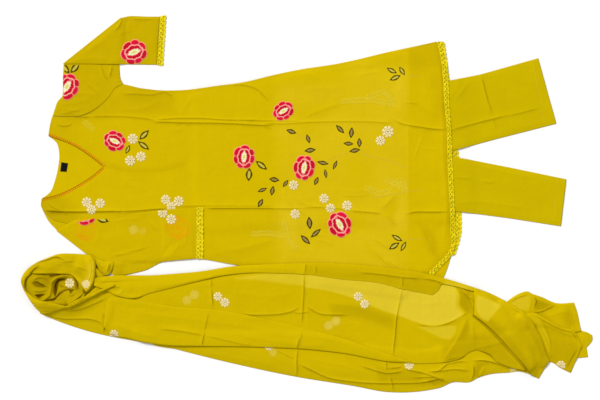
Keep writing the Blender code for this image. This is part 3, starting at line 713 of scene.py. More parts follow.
def lace_run(name, long):
    """A flat strip of lace, welded end to end: its mesh points, and how far along (0 to 1)
    and how far across (0 to 1) each of them is."""
    count = int(round(long / LACE_REPEAT))
    plan = np.column_stack([np.arange(count) * LACE_REPEAT, np.zeros(count)])
    piece = grown(name, lace_piece, lace_cotton, plan)
    welded(piece, 0.00005)
    flat = coordinates(piece)
    return piece, flat, flat[:, 0] / (LACE_REPEAT * count), flat[:, 1:2] / LACE_WIDE


def laid(piece):
    """Raise the pile to the top of a strip of lace."""
    lay(coordinates(piece), [tuple(f.vertices)[:3] for f in piece.data.polygons])


def moved(piece, points):
    piece.data.vertices.foreach_set("co", np.ravel(points))
    piece.data.update()


def coordinates(piece):
    spots = np.zeros(len(piece.data.vertices) * 3)
    piece.data.vertices.foreach_get("co", spots)
    return spots.reshape(-1, 3)


def capped(piece):
    """Close the open ends of a strip and turn its faces outward."""
    work = bmesh.new()
    work.from_mesh(piece.data)
    edges = [e for e in work.edges if e.is_boundary]
    bmesh.ops.holes_fill(work, edges=edges, sides=0)
    bmesh.ops.recalc_face_normals(work, faces=work.faces)
    if work.calc_volume(signed=True) < 0:
        bmesh.ops.reverse_faces(work, faces=work.faces)
    bmesh.ops.triangulate(work, faces=[f for f in work.faces if len(f.verts) > 4])
    work.to_mesh(piece.data)
    work.free()
    piece.data.update()


def evenly(line, shares):
    """Points of a line at shares of its length."""
    run = np.concatenate([[0.0], np.cumsum(np.linalg.norm(np.diff(line, axis=0), axis=1))])
    return np.column_stack([np.interp(shares * run[-1], run, line[:, k]) for k in (0, 1)])


def lace_strip(name, seam, edge):
    """A strip of lace between its seam line and its outer edge, laid on the pile."""
    seam, edge = flow(metres(seam), 0.004), flow(metres(edge), 0.004)
    piece, flat, share, part = lace_run(name, length(seam))
    plan = evenly(seam, share) * (1 - part) + evenly(edge, share) * part
    wave = 0.0004 * (1 + drift(plan, (0.016, 0.016), 5)) * ease(flat[:, 1] / 0.012)
    tall = bed(plan) + flat[:, 2] + wave
    moved(piece, np.column_stack([plan, tall]))
    capped(piece)
    return piece


LACE_REPEAT, LACE_WIDE = 0.012, 0.017      # metres
# colours: painted highlight of the cord, the thread, painted shadow round the holes
lace_cotton = lace_material("mercerised_cotton_lace", "ffec0c", "dcc006", "6a4e00")
lace_piece = lace_unit()
copies = copies_tree("copies_on_points")
LACE_BACK = pairs(1230, 392, 1241, 424, 1247, 454, 1247, 500, 1246, 567, 1239, 670, 1226, 783,
    1215, 864, 1208, 913, 1196, 967)
back_lace = lace_strip("hem_lace_back_cotton", HEM_BACK[:10] + (-1.2, 0), LACE_BACK[::-1])
belongs(back_lace, "lace", "hem_lace_back")
laid(back_lace)


# ======================================================================================
# Trouser legs.  Straight cotton legs, each a sewn tube pressed flat, lying side by side
# between the kameez's two panels, with their hems out at the right; a 3 cm turned hem is stitched.
# ======================================================================================
def ring(spots, base, depth, turn=0.0, outward=(0.0, 0.0), flipped=False):
    """Outer and inner loop of a pressed tube at one station, from its left edge to its right.

    turn goes from 0 to pi where the tube folds back over itself.
    """
    across = (spots[1] - spots[0]) / np.linalg.norm(spots[1] - spots[0])
    back = (spots[-2] - spots[-1]) / np.linalg.norm(spots[-2] - spots[-1])

    def loop(edge, inset, low, high):
        row = spots.copy()
        row[0] = spots[0] + across * inset
        row[-1] = spots[-1] + back * inset
        flat = np.vstack([spots[:1] + across * edge, row, spots[-1:] + back * edge, row[::-1]])
        under = np.concatenate([base[:1], base, base[-1:], base[::-1]])
        full = np.concatenate([depth[:1], depth, depth[-1:], depth[::-1]])
        up = np.concatenate([depth[:1] / 2, np.full(len(spots), low), depth[-1:] / 2,
                             depth[::-1] - high])
        if turn:
            radius = full + 0.0002 - up
            flat = flat + np.array(outward) * (radius * math.sin(turn))[:, None]
            tall = under + full + 0.0002 - radius * math.cos(turn)
        elif flipped:
            tall = under + full - up
        else:
            tall = under + up
        return np.column_stack([flat, tall])

    return loop(0.0, 0.0009, 0.0, 0.0), loop(0.0010, 0.0018, PLY, PLY)


def ringed(grid, base, depth, flipped=False):
    """The loops of every station."""
    return [ring(*station, flipped=flipped) for station in zip(grid, base, depth)]


def walls_of(count, size):
    """Quads from ring to ring of so many points, and the same as triangles."""
    quads = [(i + j, i + (j + 1) % size, i + size + (j + 1) % size, i + size + j)
             for i in range(0, (count - 1) * size, size) for j in range(size)]
    return quads, [f[:3] for f in quads] + [(f[0], f[2], f[3]) for f in quads]


def tube(name, rings, material, areas=(), stain=None, darkened=0.0):
    """Closed body of a tube that is open at both ends, and its upper skin for stitching on.

    areas: (first station, last station, folds) whose creases give its painted shade; stain colours
    the points of the last area; the last argument is painted shade that darkens the whole tube.
    """
    size = len(rings[0][0])
    count = len(rings)
    total = size * count
    points = np.vstack([r[0] for r in rings] + [r[1] for r in rings])
    outside, skin = walls_of(count, size)
    faces = [face for f in outside for face in (f, tuple(total + i for i in f[::-1]))]
    walls = len(faces)
    for start, turned in ((0, False), (total - size, True)):
        for j in range(size):
            k = (j + 1) % size
            quad = (start + k, start + j, total + start + j, total + start + k)
            faces.append(quad[::-1] if turned else quad)
    lay(points, skin)
    skins[name] = BVHTree.FromPolygons(points.tolist(), skin)
    painted_crease_shade = np.zeros(len(points))
    stains = np.zeros((len(points), 4))
    station = np.arange(len(points)) % total // size
    for first, last, folds in areas:
        here = np.nonzero((station >= first) & (station < last))[0]
        shade = np.zeros(len(here))
        creased(points[here, :2], folds, shade)
        painted_crease_shade[here] = shade
        if stain is not None and last == areas[-1][1]:
            stains[here] = stain(points[here, :2])
    # painted shade of the creases, and painted shade over the whole tube
    tone = -CREASE_SHADE * painted_crease_shade - darkened
    return built(name, points, faces, material, walls, tone, stains)


def evened(rows, turns):
    """Even out a run of rows, all but its first and last, turns times over."""
    for _ in range(turns):
        rows[1:-1] = (rows[:-2] + 2 * rows[1:-1] + rows[2:]) / 4
    return rows


def lofted(rows, columns, step, hidden=None):
    """Plan points of a tube, stations by columns, through rows: left x, y, right x, y.

    From the row numbered hidden on, where nothing of it is seen, they stand 30 mm apart.
    """
    sides = metres(rows)[::2], metres(rows)[1::2]
    long = sum(np.linalg.norm(np.diff(side, axis=0), axis=1) for side in sides) / 2
    run = np.concatenate([[0.0], np.cumsum(long)])
    fine = np.arange(0.0, run[-1], step)
    if hidden:
        coarse = np.arange(run[hidden], run[-1], 0.03)
        fine = np.concatenate([fine[fine < run[hidden]], coarse])
    fine = np.append(fine[fine < run[-1] - 0.002], run[-1])
    edges = [evened(np.column_stack([np.interp(fine, run, side[:, k]) for k in (0, 1)]), 10)
             for side in sides]
    shares = np.linspace(0, 1, columns)[None, :, None]
    return edges[0][:, None] * (1 - shares) + edges[1][:, None] * shares


def pressed(grid, folds, seed):
    """Thickness of a pressed tube at each plan point: two plies, and air where it is loose."""
    plan = grid.reshape(-1, 2)
    across = np.linalg.norm(grid - grid[:, :1], axis=2)
    edge = np.minimum(across, across[:, -1:] - across)
    rise = (ripple(plan, seed) + creased(plan, folds)).reshape(edge.shape)
    return 2 * PLY + 0.0005 + np.maximum(rise, 0) * ease(edge / 0.014)


def table(text):
    """Rows of sizes, a bar, and points x y x y; a row without a bar goes on with the last."""
    rows = []
    for line in text.strip().split("\n"):
        *sizes, points = [[float(v) for v in part.split()] for part in line.split("|")]
        if sizes:
            rows.append((sizes[0], points))
        else:
            rows[-1][1].extend(points)
    return rows


trouser_cotton = cloth_material("trouser_plain_weave_cotton", "c2aa00", "cfb812", "6a4e00",
                                0.0009, 0.0009, 0.12)
LEGS = {      # rows of left x y, right x y from the hem to the waist, and folds
    "left": ([1453, 923, 1502, 746, 1297, 879, 1338, 704, 1207, 861, 1223, 673, 1080, 853,
        1080, 665, 918, 853, 918, 665, 586, 837, 586, 665], table("""
  2.2 5 2 | 1204 725 1258 740 1331 759 1364 767
  1.4 5 3 | 1318 756 1350 764 1404 775 1461 790
  2.4 2 5 1.5 | 1295 886 1304 853 1314 815 1323 783 1328 761
  1.2 2 4 0.9 | 1327 764 1334 748 1338 729
  -0.4 1.5 1.5 | 1439 875 1450 832 1461 788 1469 751
  1.6 6 4 | 1212 799 1220 821 1234 842 1237 867
  1.5 6 4 | 1220 799 1239 824 1258 848 1274 869""")),
    "right": ([1529, 596, 1514, 469, 1385, 626, 1380, 490, 1247, 653, 1245, 508, 1148, 662,
        1148, 509, 918, 665, 918, 502, 586, 665, 586, 486], table("""
  0.9 4 2.5 | 1220 602 1247 599 1277 599
  0.9 4 2.5 | 1291 591 1318 587 1345 589
  -0.4 1.5 1.5 | 1503 599 1498 540 1492 483
  1.2 8 6 | 1220 529 1296 535 1364 526 1444 513
  1 9 7 | 1269 640 1350 618 1444 597""")),
}
below = softened()
for side, (rows, folds) in LEGS.items():
    grid = lofted(rows, 54, 0.0034, 3)
    depth = pressed(grid, folds, 11 if side == "left" else 17)
    rings = ringed(grid, bed(grid, below), depth)
    leg = tube("leg_" + side + "_cotton", rings, trouser_cotton, [(0, len(rings), folds)])
    belongs(leg, "trouser_cloth", "trouser_leg_" + side)


# ======================================================================================
# Trouser waistband.  A folded casing of the same cotton at the top of both legs, hidden
# under the kameez; elastic inside gathers it a little.
# ======================================================================================
grid = lofted([586, 837, 586, 486, 554, 832, 554, 491], 60, 0.006)
gathers = 0.0004 * np.cos(grid[..., 1] * 2 * math.pi / 0.012)
rings = ringed(grid, bed(grid, below), 0.0026 + gathers)
waistband = tube("waistband_cotton", rings, trouser_cotton)
belongs(waistband, "trouser_cloth", "trouser_waistband")


# ======================================================================================
# Kameez front.  One ply of the same lawn, with an open V neck, pressed lengthwise folds
# from its packing, and a lighter printed cloud with faint sprays down its middle.
# ======================================================================================
FRONT_FOLDS = table("""
  2.2 5 2 | 135 768 184 768 216 765 254 764
  1.3 6 2 | 238 765 292 766 351 764 397 759 432 751
  2.4 5 2 | 405 752 486 749 567 748 648 745 707 742 748 742
  1.2 4 2 | 707 744 724 735 737 734
  1.7 5 2 | 707 747 770 746 815 749 864 751 932 752 1004 751 1066 747
  2.4 5 2 | 1056 767 1072 752 1102 742 1134 737 1166 732 1210 730
  1.4 3 2 1 | 416 757 486 761 540 761 599 757 707 756
  1.3 4 2 | 648 755 742 754 821 753
  3 7 2 1.5 | 113 512 162 509 216 508 270 509 346 510
  1.8 5 2 1.2 | 319 509 378 512 410 515 459 518
  1 4 2 | 432 522 540 525 648 525 745 524
  2.4 6 2 | 548 518 621 518 707 518 770 517 824 518
  1.6 5 2 | 805 518 850 521 905 518 950 513
  2.8 6 2 | 934 514 972 509 1010 506 1040 502
  2 3 4 | 1026 505 1045 495 1061 481 1071 464
  2.2 8 5 | 1026 510 1042 529 1058 545 1072 562
  2.2 5 2 | 1088 501 1120 508 1161 508 1215 509
  1.8 4 2 | 767 578 768 554 780 535 799 517 818 505 832 486
  1.2 5 2.4 | 794 554 815 532 842 524 880 521
  1.6 8 5 | 810 759 848 775 891 791 929 802
  1.4 6 4 | 1053 845 1072 818 1085 794 1091 778
  1.6 6 3 | 1066 802 1080 775 1102 748
  1.2 6 4 | 1094 840 1112 815 1134 794 1161 778 1191 767
  1.2 5 4 | 1166 829 1183 799 1199 778
  1 4 3 | 1085 805 1107 802 1134 799
  1.2 4 2.5 | 1096 737 1102 713 1110 694 1126 680
  1 3 2 | 1142 721 1129 683 1115 645
  0.8 5 4 | 1123 683 1156 678 1191 675
  1.3 6 4 | 1164 583 1183 562 1207 540
  1.9 6 3 | 1134 481 1150 448 1164 418 1177 373
  1.1 4 4 | 1150 437 1164 410 1169 383
  1.7 6 3 | 1002 443 1026 424 1056 404
  2.4 6 3 | 996 416 1021 392 1040 373 1058 356
  1.4 4 3 | 1037 383 1056 370 1077 356
  1 4 2.4 | 826 441 853 444 883 444
  1 6 3.4 | 848 431 880 427 907 413
  1.2 9 6 | 578 400 634 405 697 421 751 435
  1.2 9 6 | 556 405 599 392 659 383
  1 8 5 | 940 907 983 902 1031 905
  1.1 7 4 | 961 875 999 882 1037 886
  1 7 4 | 802 880 837 878 856 869 869 856
  1.8 7 3 | 610 850 670 848 697 837 713 821 732 802
  1.3 7 3.5 | 324 824 367 826 410 824 446 832 464 821 470 799
  1.3 9 7 | 313 788 356 783 405 794 443 815
  0.9 6 4 | 483 761 502 791 516 813 529 829
  -0.8 6 6 | 281 632 335 618 394 616 459 621 513 643
  1 8 6 | 321 599 356 580 400 562
  0.8 7 5 | 448 732 475 726 502 737
  1.5 5 3 | 151 745 178 740 200 748
  1.6 5 3 | 124 537 140 524 173 505
  1.2 6 6 | 1188 918 1192 783 1196 648 1204 500 1196 418
  0.6 4 3.4 | 1100 745 1102 648 1100 540
  1 9 8 | 810 832 869 842 932 837
  1.1 10 8 | 891 572 950 562 1015 567
  1 6 3.4 | 913 552 961 551 1004 554""")


def closed(rows, step=0.005):
    return flow(metres(rows), step, True)


def patches(areas):
    """Tone from closed areas: ((value, softness of the edge in metres), border)."""
    def tone(plan, away):
        total = np.zeros(len(plan))
        for (value, *own), rows in areas:
            soft = own[0] if own else 0.0022
            line = closed(rows)
            near = close_to(plan, line, 0.03)
            chosen = plan[near]
            if not len(chosen):
                continue
            signed = border_distance(chosen, line) * np.where(within(chosen, line), 1, -1)
            share = ease((signed + soft) / (2 * soft))
            total[near] = total[near] * (1 - share) + value * share
        return total
    return tone


def outlines(areas):
    """Plan points just inside and outside each area's edge, so that its tone changes sharply."""
    rows = []
    for (_, *own), area in areas:
        if own:
            continue
        rows += [beyond(closed(area, 0.003), reach) for reach in (0.0022, 0.0, -0.0022)]
    return rows


# Painted shade round the folds of the front, along its far side and at its shoulders, and painted
# highlights: the rows above 0.
FRONT_PAINTED_SHADE_AND_LIGHT = table("""
  -0.13 0.025 | 740 880 860 900 1000 930 1190 965 1200 880 1000 862 860 850 740 840
  -0.12 0.015 | 160 745 200 770 260 790 330 870 470 850 470 775 330 770 250 750
  -0.2 0.025 | 100 610 160 560 216 500 216 480 100 470 90 540
  -0.1 0.012 | 281 634 405 624 508 648 502 626 405 608 319 616
  -0.34 0.006 | 124 518 173 513 178 502 140 497
  -0.24 0.008 | 1031 502 1066 543 1075 508 1066 470
  -0.1 0.02 | 1148 918 1188 923 1204 756 1177 761
  -0.14 0.012 | 805 775 918 810 950 799 864 759
  -0.16 0.01 | 319 832 405 837 464 829 446 815 351 813
  -0.16 0.01 | 1129 486 1172 443 1183 383 1156 400
  -0.16 0.008 | 988 432 1058 367 1037 356 977 410
  -0.1 0.02 | 556 418 648 405 707 416 675 383 578 389
  0.26 0.02 | 756 513 788 508 810 416 767 405
  0.24 0.012 | 1069 891 1091 859 1088 778 1061 788
  0.3 0.01 | 1064 502 1091 545 1094 464 1072 454""")


def printed(plan, away):
    """Lighter where the print has its cloud; painted shade within 14 mm of its edges and near the
    left shoulder, and the painted shade and highlights of the table above.
    """
    cloud = ease((plan[:, 0] + 0.108) / 0.05) * (1 - ease((plan[:, 0] - 0.268) / 0.012))
    patch = 0.5 + 0.5 * drift(plan, (0.07, 0.05), 61)
    # painted shade near the left shoulder
    edge = np.exp(-(((plan - metres((170, 730))) / (0.05, 0.03)) ** 2).sum(axis=1))
    return (cloud * (0.10 + 0.34 * patch) - 0.08 * (1 - ease(away / 0.014)) - 0.12 * edge
            + patches(FRONT_PAINTED_SHADE_AND_LIGHT)(plan, away))


around = joined(ARMHOLE_LEFT, SIDE_LEFT, HEM_FRONT, SIDE_RIGHT, ARMHOLE_RIGHT[::-1],
                SHOULDER_RIGHT[::-1], NECK_FRONT[::-1], SHOULDER_LEFT[::-1])
front = panel("kameez_front_lawn", around, kameez_lawn, step=0.0055, folds=FRONT_FOLDS,
              lift=lawn_lift(31), tone=printed, under=softened())
belongs(front, "kameez_cloth", "kameez_front")
LACE_FRONT = pairs(1169, 335, 1193, 362, 1218, 389, 1228, 413, 1230, 464, 1227, 526, 1224, 594,
    1221, 659, 1218, 729, 1213, 796, 1211, 864, 1207, 918, 1200, 967)
front_lace = lace_strip("hem_lace_front_cotton", HEM_FRONT[:12] + (-1.2, 0.2), LACE_FRONT[::-1])
belongs(front_lace, "lace", "hem_lace_front")
laid(front_lace)


# ======================================================================================
# Sleeves.  Each is a tube set into its armhole, pressed flat and folded back over itself
# on a slanting line; the left one lies beside the kameez, the right one over its front.
# ======================================================================================
SLEEVES = {      # armhole, its shift in cm, rows of the arm, rows past the fold, cuff, folds
    "left": (ARMHOLE_LEFT, (0.0, 0.05),
             [155, 807, 326, 866, 170, 820, 324, 876, 170, 869, 321, 923, 172, 907, 328, 1031],
             [172, 907, 328, 1031, 232, 907, 351, 1037, 292, 906, 374, 1036, 351, 906, 397,
                 1035, 424, 905, 431, 1035],
             [424, 905, 432, 1035, 441, 902, 450, 1039], table("""
  2.4 2 5 | 267 910 275 891 282 872 292 861 302 859
  2.2 5 3 | 297 864 298 880 302 896 302 913
  1.2 4 4 | 308 861 319 861 329 864
  1.7 6 4 | 189 821 221 828 248 825 281 824
  1.5 5 3 | 227 864 243 848 259 834 278 825
  1.1 6 4 | 238 869 256 861 275 850
  1.5 7 4 | 157 799 189 799 227 807 259 813
  1.3 6 3 | 167 783 200 780 227 786
  1.2 5 3 | 157 772 184 774 216 772"""), table("""
  2.6 3 4 | 331 1040 328 1023 321 1007 308 994
  1.8 3 3 | 348 1023 347 1013 346 999
  1.5 7 5 | 319 986 340 994 362 999
  1.3 6 3 | 346 1030 383 1027 427 1029
  1.4 9 8 | 227 934 259 956 292 977
  1.2 6 6 | 194 915 243 923 302 918
  -0.4 1.5 1.5 | 424 1034 423 972 420 913""")),
    "right": (ARMHOLE_RIGHT, (-0.035, -0.035),
              [131, 482, 319, 360, 154, 458, 311, 336],
              [154, 458, 311, 336, 202, 488, 332, 336, 262, 492, 362, 342, 332, 500, 397,
                  351, 402, 509, 437, 373, 467, 516, 483, 378, 532, 519, 531, 382],
              [531, 519, 530, 382, 550, 520, 550, 382],
              [], table("""
  2 7 2 0.3 | 491 432 478 416 464 397 448 378
  2 5 2.2 | 435 497 441 464 444 427 437 392
  1.6 2 4 1.6 | 436 373 446 387 458 406 473 424
  1.4 4 3 | 451 451 455 429 451 410
  1.2 5 3 | 292 381 319 392 346 398 381 408 410 421
  1.8 4 2.4 | 212 491 215 464 211 432
  1.6 6 3 | 256 478 263 448 254 413
  1.5 4 3 | 400 489 410 473 427 456
  1.1 6 6 | 308 481 346 489 383 491
  1.4 6 4 | 162 494 189 489 216 481
  1.2 7 7 | 281 454 302 421 297 389
  1.4 9 6 | 270 367 335 367 405 383
  1.2 6 6 | 486 405 502 432 502 470
  -0.4 1.5 1.5 | 520 516 522 446 521 386""")),
}


def ghosts(plan, motifs):
    """Stain of motifs sewn on the ply below: (colour, strength, centre, size in mm, petals).

    A rose shows as two rings and a heart, a small flower as petals round a knot.
    """
    stain = np.zeros((len(plan), 4))
    for colour, strength, centre, size, petals in motifs:
        gap = plan - metres(centre)
        out = np.hypot(gap[:, 0], gap[:, 1]) / (0.0005 * size)
        angle = np.arctan2(gap[:, 1], gap[:, 0])
        out = out / (1 - 0.08 * (1 - np.abs(np.sin(petals / 2 * angle))))
        mark = 1 - ease((out - 0.85) / 0.25)
        if petals < 8:
            oval = out * (1 + 0.22 * np.cos(2 * angle + 1.0))
            mark = mark * (0.72 + 0.28 * np.sin(2 * angle + size)) * np.maximum.reduce([
                np.exp(-((out - 0.88) / 0.10) ** 2), 0.9 * np.exp(-((oval - 0.52) / 0.09) ** 2),
                0.7 * (1 - ease((oval - 0.16) / 0.12))])
        else:
            mark = mark * (1 - 0.5 * ease((out - 0.3) / 0.3) * np.cos(4 * angle) ** 2)
        mark = strength * mark
        won = mark > stain[:, 3]
        stain[won] = np.column_stack([np.tile(paint(colour)[:3], (won.sum(), 1)), mark[won]])
    return stain


# colour, strength, centre, size in mm and petals of each motif that shows through
SLEEVE_GHOSTS = [("e08a0c", 0.75, (232, 459), 62, 6), ("e88a08", 0.85, (481, 465), 66, 6),
                 ("dcc85a", 0.36, (361, 460), 27, 8), ("dcc85a", 0.16, (386, 456), 22, 8)]


def sleeve_grid(first, second, step):
    """Plan points between two stations of equal columns."""
    gap = max(np.linalg.norm(first[0] - second[0]), np.linalg.norm(first[-1] - second[-1]))
    shares = np.linspace(0, 1, max(2, math.ceil(gap / step)) + 1)[:-1, None, None]
    return first * (1 - shares) + second * shares


FLAT = 0.0017      # thickness of a sleeve where it is pressed flat
columns = 46
for side, sizes in SLEEVES.items():
    armhole, away_from, arm_rows, fore_rows, cuff_rows, arm_folds, fore_folds = sizes
    shares = np.linspace(0, 1, columns)
    seam = flow(metres(armhole), 0.004) + np.array(away_from) * 0.01
    chord = seam[-1] - seam[0]
    spread = ((seam - seam[0]) @ chord) / (chord @ chord)
    spread[0], spread[-1] = 0.0, 1.0
    seam = np.column_stack([np.interp(shares, spread, seam[:, k]) for k in (0, 1)])
    stops = [seam] + [left * (1 - shares[:, None]) + right * shares[:, None]
                      for left, right in metres(arm_rows).reshape(-1, 2, 2)]
    arm = [sleeve_grid(a, b, 0.0036) for a, b in zip(stops, stops[1:])]
    arm = evened(np.concatenate(arm + [stops[-1][None]]), 6)
    fold = arm[-1]
    line = fold[-1] - fold[0]
    outward = np.array([-line[1], line[0]]) / np.linalg.norm(line)
    if outward @ (fold.mean(axis=0) - seam.mean(axis=0)) < 0:
        outward = -outward
    near_fold = ease(np.abs((arm - fold[0]) @ outward) / 0.018)
    depth = FLAT + (pressed(arm, arm_folds, 41) - FLAT) * near_fold
    rings = ringed(arm, np.zeros(depth.shape), depth)
    lay(np.vstack([r[0] for r in rings]), walls_of(len(rings), len(rings[0][0]))[1])
    for turn in np.linspace(0, math.pi, 8)[1:-1]:
        rings.append(ring(fold, np.zeros(columns), depth[-1], turn, outward))
    grid = lofted(fore_rows, columns, 0.0036)
    grid[0] = fold
    near_fold = ease(np.abs((grid - fold[0]) @ outward) / 0.018)
    near_cuff = ease(np.linalg.norm(grid - grid[-1], axis=2) / 0.014)
    depth = FLAT + (pressed(grid, fore_folds, 47) - FLAT) * near_fold * near_cuff
    base = bed(grid)
    base = 0.0019 + (base - 0.0019) * ease(np.abs((grid - fold[0]) @ outward) / 0.012)
    rings += ringed(grid, base, depth, flipped=True)
    cuff_under = pile.copy()
    first, seen = len(arm), len(rings)
    shown = None if side == "left" else (lambda plan: ghosts(plan, SLEEVE_GHOSTS))
    # the sleeves get painted shade all over, the left one more
    sleeve = tube("sleeve_" + side + "_lawn", rings, kameez_lawn,
                  [(0, first, arm_folds), (first, seen, fore_folds)], shown,
                  0.14 if side == "left" else 0.06)
    belongs(sleeve, "kameez_cloth", "sleeve_" + side)

    # lace cuff: a ring of the same lace, pressed flat with the sleeve
    near, far = metres(cuff_rows).reshape(2, 2, 2)
    wide = np.linalg.norm(near[1] - near[0])
    cuff, flat, share, part = lace_run("cuff_lace_" + side + "_cotton", 2 * wide)
    turn = np.clip(share, 0, 1) * 2 * wide
    on_top = turn < wide
    place = np.where(on_top, turn, 2 * wide - turn)
    edge = np.minimum(place, wide - place)
    bend = np.clip(edge / 0.0012, 0, 1) * math.pi / 2
    side_way = np.where(place < wide / 2, -1.0, 1.0)
    reach = place + side_way * (np.cos(bend) * flat[:, 2])
    plan = near[0] + (near[1] - near[0]) * (reach / wide)[:, None]
    plan = plan * (1 - part) + (far[0] + (far[1] - far[0]) * (reach / wide)[:, None]) * part
    tall = np.where(on_top, 1.0, -1.0) * np.sin(bend) * (0.0001 + flat[:, 2])
    moved(cuff, np.column_stack([plan, bed(plan, cuff_under) + 0.0013 + tall]))
    welded(cuff, 0.0003)
    capped(cuff)
    belongs(cuff, "lace", "sleeve_lace_" + side)
    laid(cuff)


# ======================================================================================
# Dupatta, hidden layers.  A 2.4 m by 0.95 m voile scarf is folded lengthwise and rolled;
# its buried plies are one soft mound whose rim shows the stack of their edges.
# ======================================================================================
voile = cloth_material("dupatta_cotton_voile", "c6ab00", "d6bd2a", "5c4000", 0.0011, 0.0012, 0.14)
ROLL = [76, 324, 92, 351, 130, 373, 167, 381, 230, 378, 262, 356, 292, 321, 405, 321, 540,
    335, 648, 348, 824, 354, 994, 348, 1148, 327, 1256, 297, 1320, 267, 1358, 240, 1404, 202,
    1439, 149, 1458, 108, 1447, 81, 1404, 95, 1320, 86, 1269, 70, 1188, 54, 1115, 43, 1042, 38,
    956, 51, 805, 78, 616, 119, 467, 154, 346, 181, 208, 213, 122, 246, 97, 270, 78, 302]


def stack_depth(plan, away):
    """Plies stepped back at the rim, fuller inside, a ring under the knot, a swell in the twist."""
    steps = np.floor(away / 0.0016 + 0.5)
    rim = 0.00055 * np.clip(steps, 1, 4)
    body = rim + 0.0045 * ease((away - 0.006) / 0.03)
    spread = (plan - metres((162, 312))) / np.array([0.088, 0.066])
    round_knot = np.exp(-((np.linalg.norm(spread, axis=1) - 0.80) / 0.30) ** 2)
    knot = 0.0120 * round_knot * ease(away / 0.016)
    axis, _ = beside(plan, metres([1310, 260, 1445, 115]))
    return body + knot + 0.0068 * np.exp(-(axis / 0.035) ** 2) * ease(away / 0.02)


def roll_edge(height, reach, seed, rough=0.8):
    """A ply whose edges are soft turned folds, with the faint unevenness of voile inside."""
    def lift(plan, away):
        fold = height * np.sqrt(1 - (1 - np.clip(away / reach, 0, 1)) ** 2)
        return fold + rough * ripple(plan, seed) * ease(away / 0.02)
    return lift


def stretch(name, stands_for, rows, folds, lift, step=0.0048, areas=(), extra=(),
            stain=None):
    """A length of dupatta that shows: one ply over the pile."""
    made = panel("dupatta_" + name + "_voile", closed(rows), voile, step=step, folds=folds,
                 lift=lift, tone=patches(areas), extra=outlines(areas) + list(extra),
        stain=stain, rims=(0.0008, 0.0022, 0.0042))
    belongs(made, "dupatta_cloth", "dupatta_" + stands_for)


KNOT_TAB = [248, 394, 256, 387, 267, 381, 286, 377, 302, 375, 309, 372, 307, 362, 300, 346,
    292, 336, 270, 333, 248, 335]
# the tab's darker patch is painted shade in a fold
stretch("tab", "knot_tab", KNOT_TAB, table("""
  2.6 2 3 1.7 | 250 394 256 381 262 370
  2 3 2 1.4 | 265 383 271 367 281 354
  2.2 1.6 2 0.3 | 296 374 293 359 288 340
  2 2 1.6 0.2 | 306 373 303 356 296 340
  -1.4 1.2 1.2 1.8 | 301 372 299 358 293 342
  -1.2 1.5 1.5 1.4 | 266 381 278 379 289 374"""),
        roll_edge(0.0014, 0.004, 71), step=0.0026, areas=table("""
  -0.8 0.004 | 256 367 266 362 265 348 256 348"""))
mound = panel("dupatta_stack_voile", closed(ROLL), voile, step=0.007, depth=stack_depth,
              rims=(0.0008, 0.0024, 0.004, 0.0056, 0.0072))
belongs(mound, "dupatta_cloth", "dupatta_inner_layers")


# ======================================================================================
# Dupatta tails.  The loose right end: three flaps that fan out from under the twist, with
# narrow stitched hems along their cut edges.
# ======================================================================================
def round_points(motifs):
    """Plan points round each motif, so that its edge stays sharp."""
    turn = np.linspace(0, 2 * math.pi, 25)[:-1]
    return [metres(centre) + 0.0005 * size * part * np.column_stack([np.cos(turn), np.sin(turn)])
            for _, _, centre, size, _ in motifs for part in (0.25, 0.5, 0.72, 0.9, 1.1)]


TAIL_TIP = [1551, 189, 1566, 187, 1585, 183, 1599, 175, 1600, 163, 1592, 150, 1584, 142,
    1588, 116, 1562, 113, 1544, 135, 1539, 162]
stretch("tip", "tail_tip", TAIL_TIP, table("""
  1.2 3 2 1.2 | 1592 178 1591 159
  1.6 3 3 | 1558 184 1574 167 1571 130
  -0.8 1.5 1.5 0.6 | 1582 181 1591 173 1588 159"""),
        roll_edge(0.0012, 0.004, 73), step=0.0030)
TAIL_UPPER = [1338, 250, 1365, 264, 1388, 280, 1408, 290, 1426, 293, 1435, 288, 1461, 279,
    1501, 262, 1550, 263, 1557, 243, 1569, 186, 1544, 182, 1499, 202, 1445, 212, 1395, 202, 1352,
    220]
# the paler patch is where one sheer ply shows; the darker ones are painted shade
areas = table("""
  0.4 | 1373 261 1400 277 1426 282 1427 262 1423 243 1407 244 1390 253
  -0.34 0.005 | 1442 275 1477 262 1493 256 1466 243 1442 240
  -0.22 0.014 | 1517 221 1536 254 1550 221 1555 192 1534 197
  -0.16 0.008 | 1426 238 1458 238 1490 216 1447 221""")
stretch("upper_tail", "tail_upper", TAIL_UPPER, table("""
  3 4 2 2.2 | 1427 294 1431 278 1431 259 1426 235
  1.6 2 3 0.8 | 1439 286 1447 267 1439 246
  2.2 4 2 1.2 | 1434 238 1458 239 1482 249 1504 260
  1.8 3 2 2.2 | 1537 259 1546 227 1555 189
  1.4 2 2 1.1 | 1369 259 1393 275 1426 286
  -1 1.4 1.4 0.5 | 1434 285 1466 272 1496 260
  1.4 6 4 | 1472 221 1507 235 1544 238"""),
        roll_edge(0.0024, 0.006, 75), step=0.0032, areas=areas)
TAIL_LOWER = [1396, 216, 1420, 232, 1435, 237, 1450, 233, 1482, 215, 1517, 197, 1546, 189,
    1562, 167, 1571, 147, 1562, 123, 1541, 73, 1512, 87, 1489, 102, 1462, 100, 1440, 124, 1420, 159]
